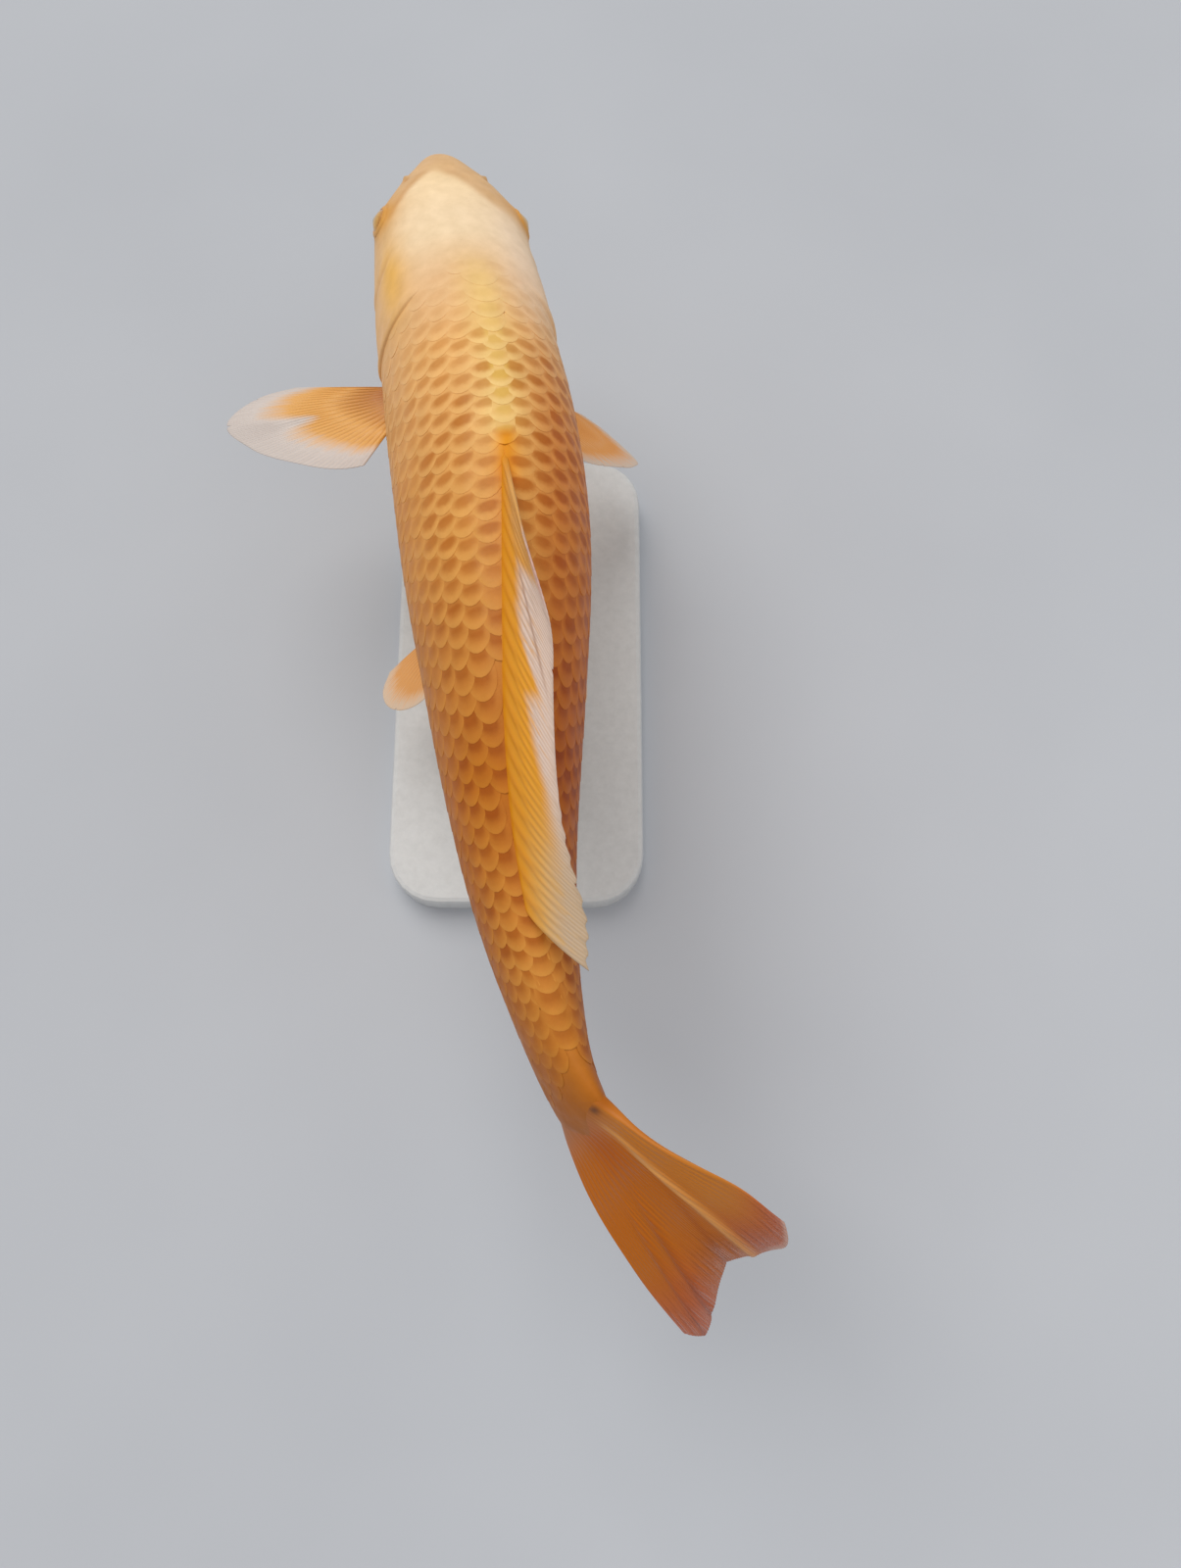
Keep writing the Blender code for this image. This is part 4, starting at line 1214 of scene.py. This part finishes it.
def makeFin(name, node, sheet, count, columns, rows, finish, **changes):
    build = {**finBuild, **changes}
    across = np.linspace(0, 1, columns + 1)[:, None] * np.ones(rows + 1)
    steps = np.concatenate([np.linspace(0, 0.982, rows - 3), (0.989, 0.9945, 0.998, 1.0)])
    out = steps[None, :] * np.ones((columns + 1, 1))
    ridge = rayRidges(across, out, count)
    points = sheet(across, out * (1 - raggedEdge(across, ridge, count, build) * ease(out, 0.72, 1.0)))
    flat = np.cross(np.gradient(points, axis=0), np.gradient(points, axis=1))
    flat /= np.maximum(np.linalg.norm(flat, axis=-1, keepdims=True), 1e-12)
    swing = build["wave"] * mm * np.sin(across * 2 * np.pi * 1.5 + 0.6 + out * 1.4) * out**2
    points = points + flat * swing[..., None]
    thick = finThickness(across, out, ridge, build)
    mesh, c, r = gridMesh(name, columns * 2, rows)
    c, r = c.astype(int), r.astype(int)
    i = np.where(c <= columns, c, 2 * columns - c)  # up one face and back down the other
    side = np.where(c <= columns, 1.0, -1.0)
    setCoordinates(mesh, points[i, r] + flat[i, r] * (thick[i, r] * side * mm)[:, None])
    setField(mesh, "finPlace", np.stack([across[i, r], out[i, r], ridge[i, r]], 1))
    setMap(mesh, 0.005 + 0.99 * c / (2 * columns), 0.005 + 0.99 * r / rows)
    closeSeams(mesh, 2e-6)
    addPiece(name, mesh, finish, (node,))


def rayGroup():  # joints of the rays, and the film between them
    outputs = {"Height": "Float", "Wisp": "Float"}
    tree, s, given, out = newGroup("finRays", {"Place": "Vector", "Spot": "Vector"}, outputs)
    u, v, ridge = s.parts(given["Place"])
    joints = s.math("SINE", v * 330.0) * ridge * s.smooth(v, 0.15, 0.35)
    s.put(out["Height"], joints * 0.35 + s.noise(given["Spot"], 700.0, 3.0, 0.6))
    stretched = s.node("ShaderNodeCombineXYZ", (u * 60.0, v * 3.5))
    s.put(out["Wisp"], s.noise(stretched, 1.0, 3.0, 0.6))
    return tree


finRays = rayGroup()


def finMaterial(name, root, middle, edge, turnAt, rayTint=(0.86, 0.72, 0.55), edgeAlpha=0.8, gloss=0.4,
                fray=0.45, shift=None, marks=None):
    film = {"Specular IOR Level": gloss, "Coat Weight": 0.06, "Coat Roughness": 0.2}
    made, s, shader = newMaterial(name, film)
    where = s.field("finPlace")
    u, v, ridge = s.parts(where)
    rays = s.group(finRays, Place=where, Spot=s.spot())
    wisp = rays["Wisp"] - 0.5
    drift = v + wisp * fray
    if shift:
        drift = drift + shift(s, u, v)
    margin = min(turnAt + 0.20, 0.98)
    tone = s.stops(drift, (0.0, root), (turnAt * 0.6, middle), (turnAt, middle), (margin, edge))
    if marks:
        tone = marks(s, u, v, wisp, tone)
    thin = s.smooth(drift, turnAt, 1.05) * (1.0 - ridge * 0.6)
    s.put(shader["Base Color"], s.blend(ridge * 0.5, tone, s.blend(1.0, tone, rayTint, "MULTIPLY")))
    s.put(shader["Roughness"], s.smooth(rays["Wisp"], 0.3, 0.7, 0.36, 0.5))
    s.put(shader["Alpha"], s.smooth(thin, 0.0, 1.0, 1.0, edgeAlpha))
    s.put(shader["Normal"], s.bump(rays["Height"], 0.35, 0.00015))
    return made


dorsalTones = {
    "lead": (0.68, 0.36, 0.12),
    "rearward": (0.68, 0.44, 0.17),
    "whiteFront": (0.73, 0.56, 0.47),
    "whiteRear": (0.57, 0.42, 0.28),
    # line: painted shade along a gap between the rays
    "thread": (0.50, 0.33, 0.22),
    "line": (0.38, 0.20, 0.12),
    "pinkTip": (0.76, 0.42, 0.38),
    "orange": (  # place from front to rear, and how much of the ray there is orange
        (0.0, 0.96), (0.10, 0.84), (0.17, 0.44), (0.30, 0.40), (0.345, 0.50), (0.39, 0.78),
        (0.45, 0.56), (0.53, 0.66), (0.60, 0.80), (0.70, 0.78), (0.82, 0.62), (1.0, 0.52)),
}


def dorsalMarks(s, u, v, wisp, tone):  # two white blades in front, a white margin, paler to the rear, and a painted shade line between rays
    past = v - s.stops(u, *((at, (value,) * 3) for at, value in dorsalTones["orange"])) + wisp * 0.22
    lead = s.smooth(u, 0.20, 0.08) * s.smooth(v, 0.10, 0.45)
    tone = s.blend(lead * 0.7, tone, dorsalTones["lead"])
    rearward = s.smooth(u, 0.55, 0.85) * s.smooth(past, -0.45, 0.0)
    tone = s.blend(rearward * 0.6, tone, dorsalTones["rearward"])
    pale = s.blend(s.smooth(u, 0.50, 0.85), dorsalTones["whiteFront"], dorsalTones["whiteRear"])
    white = s.smooth(past / s.smooth(u, 0.5, 0.8, 0.12, 0.22), -0.8, 1.0)
    streak = s.smooth(wisp, -0.02, 0.16) * s.smooth(u, 0.16, 0.34, 0.25, 1.0) * s.smooth(v, 1.02, 0.55)
    tone = s.blend(white * (1.0 - streak * 0.75), tone, pale)
    thread = white * s.smooth(wisp, -0.06, -0.2) * s.smooth(v, 1.0, 0.7)
    tone = s.blend(thread * 0.35, tone, dorsalTones["thread"])
    # painted shade along a gap between the rays in the white
    line = s.gauss(u - (v - 0.53) * 0.40, 0.205, 0.015) * s.smooth(v, 0.32, 0.55) * s.smooth(v, 1.0, 0.75)
    tone = s.blend(line * 0.65, tone, dorsalTones["line"])
    pink = s.gauss(u, 0.055, 0.05) * s.smooth(v, 0.80, 0.98)
    return s.blend(pink * 0.6, tone, dorsalTones["pinkTip"])


tailTones = {
    "goldenLobe": (0.58, 0.205, 0.026),
    "middle": (0.90, 0.74, 0.5),
    "tips": (0.52, 0.135, 0.058),
    # shaded furrows: painted shade over the pleats
    "shadedFurrow": (0.66, 0.50, 0.42),
    # pale crest: its own colour with a painted highlight along the thick middle rays
    "crestAndHighlight": (0.82, 0.42, 0.13),
    "rim": (0.72, 0.52, 0.44),
    "shadedFurrows": ((0.61, 0.028, 0.60), (0.475, 0.030, 0.45), (0.85, 0.024, 0.4)),  # place, width, strength
}


def tailMarks(s, u, v, wisp, tone):
    # golden upper lobe, a pale crest with a painted highlight that runs out to the fork, furrows below it
    # darkened with painted shade, pinkish tips
    upper = s.smooth(u, 0.70, 0.86) * s.smooth(v, 0.95, 0.70)
    tone = s.blend(upper * 0.8, tone, tailTones["goldenLobe"])
    deep = s.gauss(u, 0.52, 0.16) * s.gauss(v, 0.24, 0.17)
    tone = s.blend(deep * 0.8, tone, tailTones["middle"], "MULTIPLY")
    tips = s.smooth(v, 0.66, 0.97) * (s.smooth(u, 0.50, 0.22) + s.smooth(u, 0.62, 0.78))
    tone = s.blend(tips * 0.8, tone, tailTones["tips"])
    # the furrows are darkened with painted shade over the pleats of the sheet
    for at, wide, strength in tailTones["shadedFurrows"]:
        shadedFurrow = s.gauss(u + v * 0.35, at, wide) * s.smooth(v, 0.36, 0.80)
        tone = s.blend(shadedFurrow * strength, tone, tailTones["shadedFurrow"], "MULTIPLY")
    # the pale crest is partly its own colour and partly a painted highlight along the thick middle rays
    crestAndHighlight = s.gauss(u + v * 0.14, 0.815, 0.034) * s.smooth(v, 0.05, 0.22)
    tone = s.blend(crestAndHighlight * 0.62, tone, tailTones["crestAndHighlight"])
    rim = s.smooth(v, 0.965, 1.0) * s.smooth(u, 0.70, 0.85)
    tone = s.blend(rim * 0.6, tone, tailTones["rim"])
    tone = s.blend(s.smooth(v, 0.17, 0.05), tone, tones["stalkEnd"])
    fleck = s.gauss(u, 0.92, 0.050) * s.gauss(v, 0.060, 0.023)  # small dark spot near the ridge
    return s.blend(fleck * 0.8, tone, tones["ridgeSpot"])


def pectoralShift(s, u, v):  # orange runs out along the leading rays and over the whole root
    notch = s.gauss(u, 0.47, 0.07) * s.smooth(v, 0.36, 0.56) * 0.24
    return s.smooth(u, 0.10, 0.75, -0.10, 0.0) + notch


finLooks = {  # tones of root, middle and edge, and where along the rays the edge's begins
    "dorsalFin": ((0.76, 0.29, 0.006), (0.78, 0.335, 0.018), (0.78, 0.36, 0.03), 0.90),
    # the tail fin's tones also carry painted shade, like the body's towards the tail
    "tailFin": ((0.56, 0.150, 0.006), (0.52, 0.142, 0.006), (0.50, 0.130, 0.012), 0.74),
    "analFin": ((0.76, 0.30, 0.06), (0.78, 0.35, 0.09), (0.82, 0.60, 0.42), 0.76),
    # the left pectoral fin's dark root is its orange darkened with painted shadow near the body
    "pectoralFinLeft": ((0.42, 0.125, 0.004), (0.78, 0.395, 0.092), (0.68, 0.60, 0.555), 0.58),
    "pectoralFinRight": ((0.82, 0.30, 0.035), (0.84, 0.36, 0.075), (0.78, 0.62, 0.50), 0.80),
    "pelvicFin": ((0.76, 0.32, 0.07), (0.78, 0.37, 0.11), (0.82, 0.62, 0.45), 0.76),
}
finExtras = {
    "dorsalFin": {"marks": dorsalMarks, "gloss": 0.25},
    "tailFin": {"marks": tailMarks, "gloss": 0.15, "edgeAlpha": 0.45},
    "pectoralFinLeft": {"shift": pectoralShift, "rayTint": (0.93, 0.88, 0.80), "fray": 0.24,
                        "edgeAlpha": 0.75},
    "pectoralFinRight": {"edgeAlpha": 0.85},
}
finishes = {name: finMaterial(name, *look, **finExtras.get(name, {})) for name, look in finLooks.items()}

makeFin("dorsalFin", "dorsal_fin", dorsalSheet, dorsal["count"], 320, 44, finishes["dorsalFin"],
        wave=0.4, ray=0.12, tips=0.03)
makeFin("tailFin", "tail_fin", tailSheet, tail["count"], 320, 70, finishes["tailFin"],
        rootThick=2.4, foot=(4.2, 0.15), splits=0)
makeFin("analFin", "anal_fin", analSheet, anal["count"], 130, 40, finishes["analFin"], wave=0.4)
paired = {  # side, share and angle of the root, sweep, droop, pitch; then rays, half root, curl, ray count
    "pectoralFin": (((-1, 0.262, -40, -4, 4, 8), (1, 0.259, -40, 7, 42, 24)), (pectoralRays, 5, 3), 15),
    "pelvicFin": (((-1, 0.495, -66, 34, 32, 10), (1, 0.495, -66, 46, 44, 10)), (pelvicRays, 3.5, 2), 9),
}
for kind, (roots, shape, count) in paired.items():
    for label, root in zip(sides, roots):
        node = f"{kind.removesuffix('Fin')}_fin_{label.lower()}"
        finish = finishes.get(kind + label) or finishes[kind]
        makeFin(kind + label, node, pairedSheet(*root, *shape), count, count * 16, 52, finish)
print("fins done")


# stand
standTones = {  # darker and lighter mottling
    "plinth": ((0.60, 0.60, 0.59), (0.66, 0.66, 0.65)),
    "steel": ((0.50, 0.50, 0.51), (0.66, 0.66, 0.66)),
}


def plinthMaterial():
    made, s, shader = newMaterial("plinthPaint", {"Specular IOR Level": 0.4})
    spot = s.spot()
    speck = s.noise(spot, 380.0, 4.0, 0.6)
    s.put(shader["Base Color"], s.stops(speck, *zip((0.3, 0.7), standTones["plinth"])))
    s.put(shader["Roughness"], s.smooth(s.noise(spot, 90.0, 3.0), 0.3, 0.7, 0.42, 0.58))
    s.put(shader["Normal"], s.bump(s.noise(spot, 1400.0, 3.0), 0.25, 0.0001))
    return made


def steelMaterial():
    made, s, shader = newMaterial("brushedSteel", {"Metallic": 1.0})
    lay = s.node("ShaderNodeMapping", {"Vector": s.spot(), "Scale": (1.0, 1.0, 30.0)})
    brush = s.noise(lay, 120.0, 4.0, 0.7)
    s.put(shader["Base Color"], s.stops(brush, *zip((0.3, 0.7), standTones["steel"])))
    s.put(shader["Roughness"], s.smooth(brush, 0.3, 0.7, 0.24, 0.40))
    s.put(shader["Normal"], s.bump(brush, 0.2, 0.00008))
    return made


plinthPaint, brushedSteel = plinthMaterial(), steelMaterial()
for name in ("base", "rod_front", "rod_rear", "collar_front", "collar_rear"):
    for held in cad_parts["stand_" + name].material_slots:
        held.material = plinthPaint if name == "base" else brushedSteel
print("stand done")

# floor, light and camera
studio = {
    "floorSize": 14.0,
    "floorTone": ((0.48, 0.495, 0.525), (0.51, 0.525, 0.555)),
    "keyStrength": 1.62,
    "keyPlace": (-0.30, 0.50, 0.95),
    "keyTone": (1.0, 0.98, 0.95),
    "keySpread": 48.0,  # degrees, a broad soft light
    "fillPower": 1.2,
    "fillPlace": (0.7, -0.5, 0.8),
    "fillSize": 1.0,
    "aim": (0.01, 0, 0.09),
    "sky": (0.95, 0.97, 1.0),
    "skyStrength": 0.53,
}
view = {"lens": 27.07, "place": (0.0269, -0.1560, 0.4295), "tilt": 15.0}
scene = bpy.context.scene


def makeFloor():
    bm = bmesh.new()
    bmesh.ops.create_grid(bm, x_segments=1, y_segments=1, size=studio["floorSize"] / 2)
    floor = linked("floor", meshFrom(bm, "floor"))
    made, s, shader = newMaterial("paleFloor", {"Roughness": 0.7})
    s.put(shader["Base Color"], s.stops(s.noise(s.spot(), 6.0, 3.0), *zip((0.3, 0.7), studio["floorTone"])))
    floor.data.materials.append(made)


def addLight(name, kind, strength, where, tone=(1, 1, 1)):
    lamp = bpy.data.lights.new(name, kind)
    lamp.energy = strength
    lamp.color = tone
    rig = linked(name, lamp)
    rig.location = where
    aim = Vector(studio["aim"]) - Vector(where)
    rig.rotation_euler = aim.to_track_quat("-Z", "Y").to_euler()
    return lamp


def makeSky():
    world = bpy.data.worlds.new("studioSky")
    world.use_nodes = True
    sky = world.node_tree.nodes["Background"].inputs
    sky["Color"].default_value = (*studio["sky"], 1)
    sky["Strength"].default_value = studio["skyStrength"]
    scene.world = world


def makeCamera():
    lens = bpy.data.cameras.new("camera")
    lens.lens = view["lens"]
    lens.clip_start = 0.01
    camera = linked("camera", lens)
    camera.location = view["place"]
    camera.rotation_euler = (math.radians(view["tilt"]), 0, 0)
    scene.camera = camera


makeFloor()
key = addLight("keyLight", "SUN", studio["keyStrength"], studio["keyPlace"], studio["keyTone"])
key.angle = math.radians(studio["keySpread"])
addLight("fillLight", "AREA", studio["fillPower"], studio["fillPlace"]).size = studio["fillSize"]
makeSky()
makeCamera()
scene.view_settings.view_transform = "Standard"

print("scene ready")
